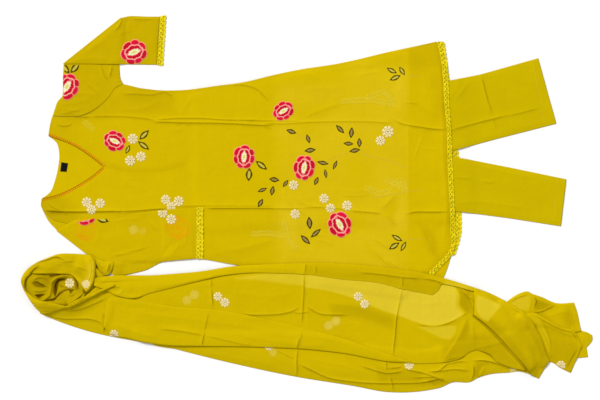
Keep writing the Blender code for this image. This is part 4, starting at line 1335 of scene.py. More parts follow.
# painted shade over most of the tail and in a fold, and a painted highlight on the rolled band at
# its left
areas = table("""
  -0.2 0.02 | 1404 216 1472 202 1539 176 1561 148 1539 76 1472 103 1431 162
  -0.15 0.012 | 1480 194 1528 173 1512 151 1485 167
  0.12 0.005 | 1434 227 1447 221 1472 189 1485 151 1487 124 1474 146 1461 178""")
stretch("lower_tail", "tail_lower", TAIL_LOWER, table("""
  2.6 2.5 5 0.3 | 1439 235 1480 212 1517 194 1547 185 1563 162
  -1.2 1.4 1.4 1.1 | 1444 228 1480 206 1515 190 1543 183 1558 162 1565 147
  3.4 3 6 0.2 | 1418 235 1442 213 1463 181 1478 148 1489 108
  -1.4 1.6 1.6 0.5 | 1450 227 1472 197 1484 167 1491 124
  1.2 7 6 | 1501 173 1523 143 1528 108
  1 6 5 | 1507 178 1539 148 1550 119
  -0.6 2 2 1.6 | 1561 144 1548 122 1527 81"""),
        roll_edge(0.0028, 0.006, 77), step=0.0032, areas=areas)


# ======================================================================================
# Dupatta runs.  Four lengths of the folded scarf lie over the mound, each over the one
# before; pressed cross folds stand about every 25 cm, and one ply alone looks paler.
# ======================================================================================
BOTTOM_RUN = [378, 189, 540, 167, 805, 162, 994, 138, 1134, 124, 1269, 149, 1330, 152, 1379,
    164, 1415, 122, 1439, 76, 1431, 69, 1404, 77, 1373, 74, 1320, 69, 1287, 58, 1273, 50, 1218,
    47, 1191, 34, 1169, 29, 1044, 22, 956, 38, 805, 62, 616, 102, 480, 136, 400, 158]
# its darker areas are painted shade in its folds
stretch("bottom_run", "bottom_run", BOTTOM_RUN, table("""
  2.6 5 2 | 805 100 845 80 881 63 957 50 1070 46 1145 50 1180 59
  1.2 4 3 | 732 143 772 124 805 108
  2 2 4 | 805 148 801 113 801 76 799 57
  1.6 2 4 | 1041 108 1042 92 1045 78
  1.8 2 4 | 1050 70 1056 51 1062 22
  2.6 4 2 | 967 97 1004 84 1044 74 1075 77 1096 81
  1.8 3 2 | 1042 88 1069 89 1091 92
  2.8 5 2 | 1080 89 1112 81 1145 74 1177 62 1215 47
  2.4 4 2 | 1156 78 1183 81 1204 97 1220 105
  2 4 2 | 1145 77 1188 80 1226 84 1258 81 1274 78
  2.6 5 3 | 1129 49 1156 51 1183 58 1204 59
  1.6 4 3 | 1107 61 1145 63 1188 65
  2.4 3 4 | 1272 103 1277 86 1276 65 1266 46
  2.4 5 2 | 1312 97 1299 78 1291 57
  1.8 4 3 | 1204 97 1237 105 1264 105
  2.6 4 2 1.5 | 1269 107 1307 108 1338 101 1377 88 1420 77
  1.6 4 2 | 1220 46 1247 45 1274 49
  1.2 8 6 | 540 130 648 113 756 92
  1.2 6 5 | 826 113 932 92 1004 70"""),
        roll_edge(0.0020, 0.005, 81), areas=table("""
  -0.21 0.008 | 1285 103 1312 103 1293 59 1274 70
  -0.21 0.005 | 1145 57 1183 62 1204 51 1172 40
  -0.16 0.012 | 1018 88 1140 78 1140 45 1020 48"""),
        stain=lambda plan: ghosts(plan, [("dcc65a", 0.35, (737, 130), 24, 8),
                                         ("e6d48c", 0.55, (1385, 80), 20, 8)]))
MIDDLE_RUN = [302, 327, 399, 331, 536, 343, 643, 359, 824, 365, 994, 358, 1148, 338, 1253, 308,
    1296, 286, 1342, 248, 1382, 194, 1419, 151, 1432, 96, 1415, 80, 1377, 89, 1349, 100, 1336,
    107, 1323, 119, 1307, 128, 1285, 136, 1266, 129, 1244, 114, 1218, 106, 1190, 102, 1069, 104,
    994, 122, 861, 142, 710, 150, 540, 151, 405, 153, 346, 163, 278, 176, 157, 213, 109, 233, 99,
    257, 189, 262, 230, 281, 265, 308]
# Rows above 0 are where one sheer ply shows, paler; rows below 0 are painted shade in its folds,
# and the last row is the twist's thin shadow, painted on this run.
areas = table("""
  0.62 0.004 | 634 329 707 340 783 343 821 340 821 310 767 316 702 324
  0.85 | 824 351 891 343 956 332 1026 321 1080 308 1072 230 1031 243 956 275 880 297 824 305
  1 | 1080 313 1148 297 1183 305 1197 313 1221 308 1239 289 1250 267 1258 239 1242 225 1211 212
    1166 203 1121 212 1075 230
  0.55 | 1131 198 1183 201 1231 201 1228 184 1214 165 1197 167 1166 181
  -0.21 0.006 | 1258 227 1266 200 1250 157 1210 119 1188 108 1204 140 1237 184
  -0.24 0.01 | 1342 162 1372 157 1361 135 1334 119 1318 135
  -0.36 0.005 | 278 232 292 235 293 194 281 189
  -0.22 0.015 | 1195 150 1255 175 1340 175 1390 105 1320 100 1290 125 1200 100
  -0.3 0.01 | 1237 300 1269 294 1274 240 1253 232 1234 256
  -0.17 0.012 | 891 256 988 254 1069 221 1064 189 972 221 896 227
  -0.11 0.025 | 324 270 540 246 567 176 405 189 310 216
  -0.55 | 1275 231 1298 212 1321 192 1368 141 1403 104 1431 68 1429 65 1400 101 1365 138 1318 189
    1296 209 1273 228""")
MIDDLE_GHOSTS = [("dcc65a", strength, spot, 26, 8) for strength, spot in (
    (0.42, (526, 285)), (0.36, (505, 270)), (0.5, (907, 214)), (0.45, (887, 202)))]
MIDDLE_FOLDS = table("""
  1.5 2.2 5 | 571 329 571 302
  2.4 2.2 5 | 570 308 573 278 575 246
  2 2.2 5 | 820 346 820 297 817 243 814 200
  1.6 4 2 | 828 281 829 238 830 194
  2.4 2.2 5 | 1084 313 1079 270 1070 224 1066 178 1059 113
  1.8 5 2 | 648 235 680 231 722 231 767 235 794 243 813 256
  2 5 2 | 821 262 840 246 864 234 902 231 945 231
  1.4 2 2 | 783 243 805 236 821 238 842 240
  2.2 5 2 | 243 317 281 319 324 322 367 324 416 326
  2.4 5 2.2 | 227 270 248 284 275 297 305 304 346 305
  2 3 2 | 362 302 340 298 327 286 310 284
  2.4 5 2.4 | 113 240 137 228 173 220 211 220 247 219 267 213 285 197
  2.4 2.4 5 | 297 281 295 247 286 221 281 189 279 173
  1.6 6 3 | 162 243 216 246 259 262 297 281
  1.4 5 3 | 300 278 350 273 399 263 460 254
  1.2 7 5 | 356 221 399 221 433 214
  2.8 9 3.4 | 1261 232 1242 184 1215 140 1188 103
  2.4 5 7 | 1272 221 1276 178 1277 140
  2.8 5 2.2 1.5 | 1237 305 1256 286 1269 267 1276 235
  2 5 3 | 1247 294 1266 278 1280 267
  1.8 6 3 | 1118 208 1145 202 1177 201 1215 211 1242 227 1264 238
  1.8 7 5 | 1285 194 1307 162 1328 135
  1.6 6 4 | 1269 135 1307 146 1350 157 1377 162
  -1.2 1.4 1.4 1.7 | 1280 135 1301 131 1320 124 1336 108
  -1 1.4 1.4 1 | 1188 105 1220 112 1253 119 1282 133
  1.4 5 6 | 1120 162 1161 135 1183 105
  1.2 9 6 | 869 265 972 248 1058 216
  1 10 8 | 626 292 707 281 799 286
  1.4 8 5 | 1091 211 1134 189 1177 167 1204 162
  1 10 8 | 1091 270 1145 259 1204 270""")
stretch("middle_run", "middle_run", MIDDLE_RUN, MIDDLE_FOLDS,
        roll_edge(0.0020, 0.005, 83), areas=areas,
        extra=round_points(MIDDLE_GHOSTS), stain=lambda plan: ghosts(plan, MIDDLE_GHOSTS))
OVER_RUN = [302, 282, 399, 266, 467, 254, 589, 244, 683, 227, 815, 197, 956, 159, 1012, 138,
    1112, 104, 1069, 104, 918, 129, 805, 140, 710, 144, 540, 147, 454, 149, 347, 167, 297, 181,
    281, 200, 286, 238, 292, 270]
stretch("over_run", "over_run", OVER_RUN, table("""
  1.3 2.4 5 | 564 240 556 205 551 181
  2 2.2 5 | 554 189 548 162 544 138
  1 2.4 5 | 815 192 806 148 802 138
  2 2.4 4 | 809 173 803 151 802 135
  1.5 6 2.4 | 426 194 484 188 526 181 557 176
  1.1 6 3 | 551 176 594 167 648 154 691 146
  1.2 8 6 | 340 243 405 232 500 221 621 205 756 181
  1 8 6 | 648 176 756 157 891 146
  1 8 6 | 837 178 945 151 1037 124
  1.2 6 5 | 302 211 356 189 432 167"""),
        roll_edge(0.0017, 0.005, 87))
TOP_RUN = [254, 330, 284, 334, 313, 337, 348, 337, 410, 337, 467, 341, 536, 347, 643, 363,
    710, 366, 892, 370, 994, 363, 1069, 354, 1148, 342, 1196, 330, 1253, 313, 1284, 303, 1279,
    294, 1215, 310, 1190, 314, 1182, 296, 1166, 284, 1080, 302, 1026, 316, 918, 327, 842, 338,
    770, 342, 662, 343, 591, 334, 532, 320, 473, 305, 412, 290, 354, 275, 319, 282, 290, 296, 256,
    310]


def top_edge(plan, away):
    """Rolled and full at the left; from the middle on it lies flat on the runs below."""
    full = 1 - 0.92 * ease((plan[:, 0] + 0.22) / 0.16)
    turn = np.clip(away / 0.0045, 0, 1)
    return full * 0.0022 * np.sqrt(1 - (1 - turn) ** 2) + 0.6 * ripple(plan, 91) * ease(away / 0.02)


areas = table("""
  -0.15 0.012 | 826 367 918 362 1026 354 1080 348 1166 332 1199 316 1188 286 1164 275 1080 301
    1026 316 918 327 826 338
  0.45 0.006 | 1191 308 1204 321 1247 310 1280 297 1247 294""")
stretch("top_run", "top_run", TOP_RUN, table("""
  1.6 2 4 | 825 378 824 356 822 335
  1.2 2 3 | 852 367 852 338
  1.2 2 4 | 1085 340 1085 302
  1.6 6 2 | 961 346 1026 340 1085 332 1145 328
  2.2 5 2 | 1129 329 1166 325 1199 315 1237 306 1280 298
  1.4 6 2.4 | 702 343 770 343 826 340
  -1.2 1.5 1.5 1 | 254 318 281 319 313 320 346 321
  1.8 4 2 1.2 | 248 294 281 302 305 306 335 306
  2 3 2 1.3 | 335 302 328 292 316 285
  1.2 5 4 0.6 | 281 325 346 326 416 327
  1.2 6 6 | 405 300 513 321 608 340
  1 8 5 | 594 356 702 356 810 351"""),
        top_edge, areas=areas, step=0.0045)


# ======================================================================================
# Dupatta knot.  The left end is wrapped once round itself: a smooth band outside, the
# crumpled scarf inside it, with deep slits between the crumples.
# ======================================================================================
KNOT_FOLDS = [65, 338, 76, 348, 97, 352, 162, 348, 200, 344, 224, 316, 239, 297, 227, 275,
    200, 259, 157, 259, 119, 262, 89, 273, 66, 300, 61, 319]
# painted shade over the knot and painted shadow in the deep slits between its crumples
areas = table("""
  -0.28 0.006 | 61 338 120 352 200 344 239 297 200 259 119 262 66 300
  -0.75 0.002 | 89 317 103 321 119 313 131 306 113 305 97 309
  -1 0.002 | 98 286 123 287 111 276 104 277
  -0.9 0.002 | 150 317 158 328 181 331 179 324 162 319 158 300 154 278 147 289
  -0.85 0.002 | 127 271 151 277 164 289 176 294 162 278 148 268
  -0.9 0.002 | 188 298 205 301 194 287
  -0.7 0.003 | 205 324 213 316 218 301 208 297 204 310
  -0.9 0.002 | 135 339 162 343 167 338 138 332
  -1 0.002 | 196 341 205 336 215 321 209 320
  -0.9 0.002 | 227 302 239 297 232 286 228 292
  -0.35 0.004 | 154 278 170 289 177 265 162 262
  -0.3 0.005 | 73 329 89 338 84 297 73 302
  -0.3 0.003 | 97 334 111 334 124 327 113 320 100 325""")
stretch("knot_crumples", "knot_folds", KNOT_FOLDS, table("""
  5 3 3 0.2 | 89 321 103 331 119 333 134 324
  -5 1.6 1.6 0.8 | 86 316 103 319 119 311 132 305
  4 3 2.4 0.2 | 89 299 111 295 132 299
  -5 1.6 1.6 1.6 | 94 282 113 284 130 286
  7 2.6 2.2 0.4 | 200 336 176 335 156 330 143 319 141 300 139 284 124 273 108 267
  -2.5 1.2 1.2 0.6 | 143 319 141 308 142 297
  -6 1.6 1.6 1.6 | 184 328 162 325 153 313 154 294 151 281
  -5 1.4 1.4 1.6 | 108 266 135 270 154 276 167 292 184 298 211 300
  4 3 2 0.2 | 167 303 186 307 205 306
  -2.5 1.4 1.4 1 | 164 316 167 307 181 306
  4.5 2.4 2.4 0.3 | 173 292 177 273 186 259 202 269 219 282 231 293
  -1.8 1.4 1.4 0.5 | 184 286 197 280 213 292
  -5 1.5 1.5 1.4 | 201 336 212 321 214 300
  4 2.4 2.4 0.2 | 202 339 216 322 232 302
  -3 1.4 1.4 1.5 | 233 294 221 279 211 267
  3 3 3 0.2 | 81 286 103 268 140 263"""),
        roll_edge(0.003, 0.006, 95, 1.2), step=0.0021, areas=areas)
KNOT_BAND = [314, 310, 290, 299, 257, 282, 211, 259, 174, 246, 118, 233, 97, 249, 80, 276,
    64, 304, 58, 321, 64, 338, 95, 369, 124, 382, 157, 394, 199, 395, 246, 392, 258, 375, 259,
    346, 257, 324, 248, 303, 237, 292, 216, 318, 197, 338, 167, 342, 135, 341, 108, 342, 89, 343,
    72, 326, 69, 305, 86, 286, 106, 272, 135, 266, 164, 260, 184, 256, 206, 270, 248, 288, 284,
    304, 312, 314]
# painted shade in the band's hollows and along its edges, and one lighter strip near its right end
areas = table("""
  -0.2 0.008 | 60 330 95 369 162 392 205 390 200 347 135 341 89 343
  -0.35 0.004 | 81 351 92 362 108 367 113 359 97 348 89 338
  -0.3 0.003 | 97 374 124 379 154 389 167 383 151 381 124 373
  0.35 0.005 | 238 373 247 362 248 335 238 313 231 321 238 340
  -0.22 0.01 | 200 356 227 356 227 335 205 338
  -0.3 0.005 | 61 335 68 319 81 292 70 297 58 319
  -0.25 0.008 | 92 265 162 262 200 267 162 248 119 246
  -0.6 0.004 | 251 313 262 308 254 294 243 292""")
BAND_GHOSTS = [("f0d8a0", 0.85, (236, 315), 23, 8)]
stretch("knot_band", "knot_band", KNOT_BAND, table("""
  2.6 5 2 1.3 | 89 366 108 374 127 379 154 387 170 382 186 374
  1.4 5 3 | 167 373 189 375 211 377
  1.8 4 5 | 124 352 146 362 173 370
  2.6 3 2 1.3 | 78 340 89 347 97 356 111 364
  1.8 3 3 1 | 92 344 135 343 167 344
  3 4 3 1.2 | 194 343 205 332 219 316 234 300
  2.6 3 2 1.5 | 246 392 255 375 256 351 255 329 247 310 239 294
  1.8 2 2 0.7 | 238 383 247 367 249 348 244 327 232 308
  1.4 5 3 | 205 362 227 356 243 348
  1.8 4 4 | 65 313 68 329 78 346
  -1.6 1.4 1.4 1.3 | 66 319 70 300 86 289 103 276
  -1.6 1.6 1.6 1.4 | 97 242 135 241 167 246 192 256 213 270 248 282
  1.6 4 3 | 81 281 97 259 124 246
  1.8 3 2 0.3 | 221 277 248 289 275 298 302 303
  -1.4 1.4 1.4 0.8 | 216 281 243 292 270 301 308 307"""),
        roll_edge(0.0034, 0.007, 97), step=0.0026, areas=areas,
        extra=round_points(BAND_GHOSTS), stain=lambda plan: ghosts(plan, BAND_GHOSTS))


# ======================================================================================
# Dupatta twist.  Near its right end the whole scarf is turned over once: a slanting roll
# whose lower left edge stands clear of the runs below; a thin shadow under it is painted
# on the middle run, and a painted shade line runs along the edge itself.
# ======================================================================================
TWIST = [1278, 305, 1322, 289, 1369, 265, 1410, 239, 1426, 224, 1444, 197, 1461, 164, 1472,
    132, 1483, 106, 1454, 57, 1431, 70, 1404, 105, 1369, 143, 1321, 194, 1276, 229, 1277, 262]
# painted shade along the lower left edge and over the right end, and one paler patch at the left
areas = table("""
  -0.26 0.014 | 1300 215 1369 145 1430 62 1445 75 1405 140 1345 200 1318 225
  0.7 0.003 | 1287 284 1320 271 1352 258 1334 239 1315 216 1299 223 1286 240 1283 260
  -0.14 0.016 | 1393 221 1426 216 1447 184 1463 146 1469 108 1447 76 1409 135 1372 173
  -0.2 0.008 | 1442 189 1461 157 1472 124 1458 103 1439 140""")
stretch("twist", "twist", TWIST, table("""
  -0.5 3 3 2.2 | 1277 297 1277 270 1276 231 1299 213 1322 193 1347 168 1371 141 1404 105 1433 68
  1.8 4 3 | 1364 259 1393 243 1420 224 1439 200
  2 6 2 1.4 | 1423 227 1442 194 1459 157 1474 124 1481 103
  1.4 8 6 | 1345 227 1382 189 1415 146 1439 86
  1.4 7 6 | 1307 211 1350 173 1388 130"""),
        roll_edge(0.0040, 0.008, 99), step=0.0034, areas=areas)


# ======================================================================================
# Roses.  Machine-embroidered in satin stitch with a padded thread: crimson petals edged
# in pale pink, an inner ring of the same, and a long cream heart; 5 to 7 cm across.
# ======================================================================================
def embroidery_material(name, spacing):
    """Rayon embroidery thread: silky, laid side by side, coloured face by face."""
    made, tree, shader = fresh_material(name)
    colour = node(tree, "Attribute", attribute_name="thread").outputs["Color"]
    way = node(tree, "Attribute", attribute_name="way").outputs["Vector"]
    rows = node(tree, "TexWave", {"Vector": way, "Scale": WAVES / spacing, "Distortion": 0.8,
                                  "Detail": 1.0}, bands_direction="X")
    level = node(tree, "MapRange", {"Value": rows.outputs["Fac"], 1: 0.0, 2: 1.0, 3: 0.84, 4: 1.06})
    bump = node(tree, "Bump", {"Height": rows.outputs["Fac"], "Distance": 0.0002, "Strength": 0.7})
    dressed(tree, shader, multiplied(tree, colour, level.outputs["Result"]), bump, 0.5, 0.06)
    return made


def surface(plan, names):
    """Height of the named upper surfaces at plan points; below 0 where there is none."""
    tall = np.full(len(plan), -1.0)
    down = Vector((0.0, 0.0, -1.0))
    for name in names:
        for i, (x, y) in enumerate(plan):
            hit = skins[name].ray_cast(Vector((x, y, 0.2)), down)[0]
            if hit is not None:
                tall[i] = max(tall[i], hit.z)
    return tall


def sewn_on(piece, names, clips=()):
    """Lay a flat motif mesh on the cloth below it, cut at clips (point, way that goes)."""
    work = bmesh.new()
    work.from_mesh(piece.data)
    for point, way in clips:
        spot = metres(point)[0]
        cut = bmesh.ops.bisect_plane(work, geom=work.verts[:] + work.edges[:] + work.faces[:],
                                     plane_co=(*spot, 0.0), plane_no=(*way, 0.0),
                                     clear_outer=True)
        edges = [e for e in cut["geom_cut"] if isinstance(e, bmesh.types.BMEdge)]
        bmesh.ops.holes_fill(work, edges=edges, sides=0)
    plan = np.array([(v.co.x, v.co.y) for v in work.verts])
    tall = surface(plan, names)
    lost = [v for v, height in zip(work.verts, tall) if height < 0]
    for vert, height in zip(work.verts, tall):
        vert.co.z += height - 0.00012
    if lost:
        bmesh.ops.delete(work, geom=lost, context="VERTS")
        bmesh.ops.holes_fill(work, edges=[e for e in work.edges if e.is_boundary], sides=0)
    bmesh.ops.triangulate(work, faces=[f for f in work.faces if len(f.verts) > 4])
    work.to_mesh(piece.data)
    work.free()
    piece.data.polygons.foreach_set("use_smooth", [True] * len(piece.data.polygons))
    piece.data.update()
    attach(piece, "root")


def motif(name, plan, high, faces, colours, way):
    """Closed flat mesh: upper points and the same points at 0, with a colour for every face."""
    count = len(plan)
    body = shell(faces, count)
    mesh = meshed(name, layered(plan, high), body)
    shades = [paint(c) for c in list(colours) * 2 + colours[-1:] * (len(body) - 2 * len(faces))]
    marked(mesh, "thread", shades, "FLOAT_COLOR", "FACE")
    marked(mesh, "way", layered(way, 0.0 * way[:, 0]), "FLOAT_VECTOR")
    return added(name, mesh)


def polar_motif(name, rings, colour_of, heights, count, size):
    """Rings of points about a centre; rings are functions of the angle, in shares of size,
    and heights in mm are those of the centre and of each ring."""
    angles = np.linspace(0, 2 * math.pi, count + 1)[:-1]
    reach = np.array([ring_of(angles) for ring_of in rings])
    centre = np.zeros((1, 2))
    plan = np.vstack([centre] + [np.column_stack([row * np.cos(angles), row * np.sin(angles)])
                                 for row in reach]) * size
    high = 0.001 * np.array(heights[:1] + [tall for tall in heights[1:] for _ in angles])
    way = np.vstack([centre] + [np.column_stack([angles * size * 0.6, row * size])
                                for row in reach])
    faces, colours = [], []
    for j in range(count):
        k = (j + 1) % count
        faces.append((0, 1 + j, 1 + k))
        colours.append(colour_of(0, angles[j]))
        for i in range(len(rings) - 1):
            a, b = 1 + i * count + j, 1 + i * count + k
            faces.append((a, a + count, b + count, b))
            colours.append(colour_of(i + 1, angles[j] + math.pi / count))
    return motif(name, plan, high, faces, colours, way)


def rose(name, across, tall, turn, shift):
    """One rose, across and tall in metres, its heart turned by turn degrees."""
    notches = np.radians([8, 56, 98, 152, 204, 246, 304])
    notches = np.sort((notches + shift) % (2 * math.pi))
    limits = np.concatenate([notches, notches[:1] + 2 * math.pi])

    def petal(angle):
        """Number of the petal at an angle, and how far along it the angle is."""
        angle = notches[0] + (np.asarray(angle) - notches[0]) % (2 * math.pi)
        which = np.clip(np.searchsorted(limits, angle, side="right") - 1, 0, len(notches) - 1)
        return which, (angle - limits[which]) / (limits[which + 1] - limits[which])

    def oval(angles, long, wide):
        return long * wide / np.sqrt((wide * np.cos(angles)) ** 2 + (long * np.sin(angles)) ** 2)

    def heart(angles):
        return oval(angles, 0.42, 0.20) * (1 + 0.09 * np.sin(9 * angles + shift))

    def inner(angles):
        bulge = np.sin(math.pi * petal(angles + 0.4)[1]) ** 0.5
        return oval(angles, 0.62, 0.50) * (0.86 + 0.16 * bulge)

    def outer(angles):
        which, share = petal(angles)
        bulge = np.sin(math.pi * np.clip(share, 0, 1)) ** 0.45
        return 0.81 + (0.19 - 0.03 * (which % 3 == 1)) * bulge

    rings = [lambda a: 0.45 * heart(a), heart, lambda a: heart(a) + 0.04,
             lambda a: 0.5 * (heart(a) + 0.04 + inner(a)), inner, lambda a: inner(a) + 0.065,
             lambda a: inner(a) + 0.10, lambda a: 0.5 * (inner(a) + 0.10 + outer(a) - 0.10),
             lambda a: outer(a) - 0.11, lambda a: outer(a) - 0.07, outer]
    bands = ["dcd860", "f2ecc0", "f2b08c", "ce0c2c", "c40828", "fcae98", "f08c84", "d20034",
             "c6002c", "c2002a", "f79a70"]
    # each petal a slightly different crimson: painted sheen, for the way its satin stitches catch
    # the light
    petals = ["dc0834", "c80a26", "de123e", "ce0a2e", "d60e36", "c40828", "d80a34"]
    heights = [0.9, 0.8, 0.6, 0.75, 1.0, 0.7, 0.9, 0.7, 1.1, 0.9, 0.8, 0.35]

    def colour_of(band, angle):
        which, share = petal(angle)
        if band in (7, 8, 9):
            return "f28c80" if min(share, 1 - share) < 0.045 else petals[which]
        if band in (3, 4) and abs(math.cos(angle)) > 0.985:
            return "e8707a"
        return bands[band]

    made = polar_motif(name, rings, colour_of, heights, 96, 0.5)
    spots = coordinates(made)
    turned = math.radians(turn)
    x = spots[:, 0] * tall
    y = spots[:, 1] * across
    plan = np.column_stack([x * math.cos(turned) - y * math.sin(turned),
                            x * math.sin(turned) + y * math.cos(turned)])
    made.data.attributes["way"].data.foreach_set(
        "vector", np.ravel(np.column_stack([np.arctan2(y, x) * 0.02, np.hypot(x, y), 0 * x])))
    moved(made, np.column_stack([plan, spots[:, 2]]))
    return made


rose_thread = embroidery_material("rayon_embroidery_thread", 0.0011)
ROSES = [      # name, centre, across cm, along the heart cm, turn, cloth, cuts
    ("rose_neck", (310, 699), 5.8, 6.4, -25, ["kameez_front_lawn"], ()),
    ("rose_high", (765, 780), 5.2, 6.2, 32, ["kameez_front_lawn"], ()),
    ("rose_middle_left", (659, 656), 6.3, 6.7, 86, ["kameez_front_lawn"], ()),
    ("rose_middle", (821, 627), 6.3, 7.1, 80, ["kameez_front_lawn"], ()),
    ("rose_low", (917, 474), 6.8, 7.4, -62, ["kameez_front_lawn"], ()),
    ("rose_forearm", (362, 939), 7.0, 7.5, 20, ["sleeve_left_lawn"], ()),
    ("rose_shoulder", (181, 846), 7.0, 7.6, 60, ["sleeve_left_lawn"],
     (((171, 848), (-1.0, 0.0)),)),
    ("rose_right_sleeve", (230, 498), 5.6, 6.4, 10, ["sleeve_right_lawn"],
     (((205, 479), (-0.22, 0.98)),)),
]
for i, (name, centre, across, tall, turn, cloth, cuts) in enumerate(ROSES):
    flower = rose(name, across * 0.01, tall * 0.01, turn, 0.7 * i)
    moved(flower, coordinates(flower) + np.append(metres(centre), 0.0))
    flower.data.materials.append(rose_thread)
    sewn_on(flower, cloth, cuts)


# ======================================================================================
# Leaves.  The same thread: a dark olive outline round a paler fill, 2.5 to 3.5 cm long,
# on stems too thin to show; each is one padded satin shape.
# ======================================================================================
def leaf_unit(name, fill, edge, outline):
    """A pointed leaf one unit long and one unit wide, for the tree to size and turn."""
    along = np.linspace(-0.5, 0.5, 15)
    across = np.array([-1.0, -1.0 + outline, -0.35, 0.0, 0.35, 1.0 - outline, 1.0])
    half = 0.5 * np.clip(1 - np.abs(2 * along) ** 1.7, 0.06, 1)
    plan = np.array([(x, half[i] * v) for i, x in enumerate(along) for v in across])
    tall = [0.35 if abs(v) == 1.0 else 0.95 if abs(abs(v) - 1 + outline) < 1e-6 else 0.7
            for v in across]
    high = 0.001 * np.tile(tall, len(along))
    width = len(across)
    faces, colours = [], []
    for i in range(len(along) - 1):
        for j in range(width - 1):
            a, b = i * width + j, (i + 1) * width + j
            faces.append((a, b, b + 1, a + 1))
            rim = j in (0, width - 2) or not 2 < i < len(along) - 4
            colours.append(edge if rim else fill)
    way = np.column_stack([plan[:, 0] * 0.03, plan[:, 1] * 0.01])
    return motif(name, plan, high, faces, colours, way)


open_leaf = leaf_unit("open_leaf_unit", "c8b840", "544800", 0.58)
small_leaf = leaf_unit("small_leaf_unit", "9a8240", "483c00", 0.55)
LEAVES = {     # from tip to tip, and width in mm
    "open": (open_leaf, "kameez_front_lawn", """
    377 703 402 728 14 / 373 698 403 676 13 / 351 688 340 665 10 / 691 645 721 622 14
    674 626 671 591 16 / 1044 896 1071 882 11 / 1078 899 1092 877 11 / 1052 863 1081 876 12
    1057 446 1086 429 11 / 1050 407 1078 425 13 / 1096 428 1082 402 10""", ()),
    "small": (small_leaf, "kameez_front_lawn", """
    834 495 837 461 14 / 839 439 866 462 11 / 812 445 837 421 12 / 773 729 800 720 11
    828 717 836 693 10 / 822 672 852 676 12 / 907 742 929 720 11 / 950 736 947 707 12
    927 693 954 691 10 / 970 707 970 682 11 / 943 671 972 676 11 / 727 597 754 593 12
    764 575 778 594 9 / 696 562 721 572 9 / 738 578 733 552 11 / 710 543 697 521 11
    859 602 849 580 10 / 877 623 881 599 8 / 856 643 887 637 10 / 910 647 899 622 8""", ()),
    "shoulder": (open_leaf, "sleeve_left_lawn", "163 911 188 881 15 / 191 883 215 910 15",
                 (((178, 904), (0.0, 1.0)), ((170, 896), (-1.0, 0.0)))),
    "right_sleeve": (open_leaf, "sleeve_right_lawn", "259 493 294 482 16",
                     (((270, 488), (-0.08, 1.0)),)),
}


def numbers(text, width):
    """Rows of so many numbers each."""
    return np.reshape([float(v) for v in text.replace("/", " ").split()], (-1, width))


for group, (unit, cloth, text, cuts) in LEAVES.items():
    rows = numbers(text, 5)
    tip, base = metres(rows[:, :2]), metres(rows[:, 2:4])
    along = base - tip
    sewn = grown("leaves_" + group, unit, rose_thread, (tip + base) / 2,
                 np.arctan2(along[:, 1], along[:, 0]), np.linalg.norm(along, axis=1),
                 0.00115 * rows[:, 4])
    sewn_on(sewn, [cloth], cuts)


# ======================================================================================
# Small flowers.  Cream rosettes of looped chain stitch, 26 to 30 mm across, eight petals
# round a knot, with tiny gaps where the cloth shows pinkish between the loops.
# ======================================================================================
def blossom_unit(name):
    def edge(angles):
        return 0.46 + 0.04 * np.abs(np.sin(4 * angles)) ** 0.6

    rings = [lambda a: 0.055 + 0 * a, lambda a: 0.13 + 0 * a, lambda a: 0.18 + 0 * a,
             lambda a: 0.25 + 0 * a, lambda a: 0.34 * (0.94 + 0.06 * np.abs(np.sin(4 * a))),
             lambda a: edge(a) - 0.045, edge]
    heights = [0.5, 0.45, 0.9, 0.6, 0.9, 0.55, 0.95, 0.35]
    gaps = {3: (0.5, "86642c"), 5: (0.44, "c2a63c"), 6: (0.3, "d0b64c")}
    plain = ["5c4220", "e8d498", "f4e4b0", "dfca8c", "eedca2", "f2e0ac", "f4e6b2"]

    def colour_of(band, angle):
        width, colour = gaps.get(band, (0.0, ""))
        return colour if abs(math.sin(4 * angle)) < width else plain[min(band, 6)]

    return polar_motif(name, rings, colour_of, heights, 48, 1.0)


blossom = blossom_unit("blossom_unit")
BLOSSOMS = {     # centre and width in mm
    "front": ("kameez", ["kameez_front_lawn"], """
    359 705 28 / 381 657 27 / 352 646 28 / 235 534 27 / 271 531 26 / 248 514 26 / 448 541 26
    483 537 27 / 463 522 25 / 793 580 26 / 875 544 26 / 892 518 25 / 937 525 27 / 797 502 26
    1047 724 31 / 1027 700 26"""),
    "right_sleeve": ("kameez", ["sleeve_right_lawn"], "440 505 26 / 463 488 27"),
    "dupatta_run": ("dupatta", ["dupatta_middle_run_voile", "dupatta_over_run_voile"],
                    "589 280 24 / 608 264 25 / 967 280 24 / 984 260 24 / 309 178 25"),
    "dupatta_low": ("dupatta", ["dupatta_bottom_run_voile"], "726 146 22 / 1104 96 25"),
    "knot": ("dupatta", ["dupatta_knot_crumples_voile"], "191 316 26"),
    "tail": ("dupatta", ["dupatta_lower_tail_voile"], "1514 94 25"),
}
for group, (garment, cloth, text) in BLOSSOMS.items():
    rows = numbers(text, 3)
    sewn = grown("blossoms_" + group, blossom, rose_thread, metres(rows[:, :2]),
                 0.4 * np.arange(len(rows)), 0.001 * rows[:, 2], 0.001 * rows[:, 2])
    sewn_on(sewn, cloth)


# ======================================================================================
# Fine stitches.  A ladder of rust thread round the neck over a dark chain, the running
# stitches of the trouser hem, and the thin pale sprays and twigs between the flowers.
# ======================================================================================
def stitch_unit(name, colour):
    """One stitch: a low bar a unit long and wide, its ends drawn in."""
    xs, ys = (-0.5, -0.3, 0.3, 0.5), (-0.5, 0.0, 0.5)
    plan = np.array([(x, y * (0.5 if abs(x) == 0.5 else 1.0)) for x in xs for y in ys])
    high = [0.0002 if abs(y) == 0.5 else 0.0004 if abs(x) == 0.5 else 0.0007
            for x in xs for y in ys]
    faces = [(k, k + 3, k + 4, k + 1) for k in (0, 1, 3, 4, 6, 7)]
    return motif(name, plan, high, faces, [colour] * 6, plan * 0.004)


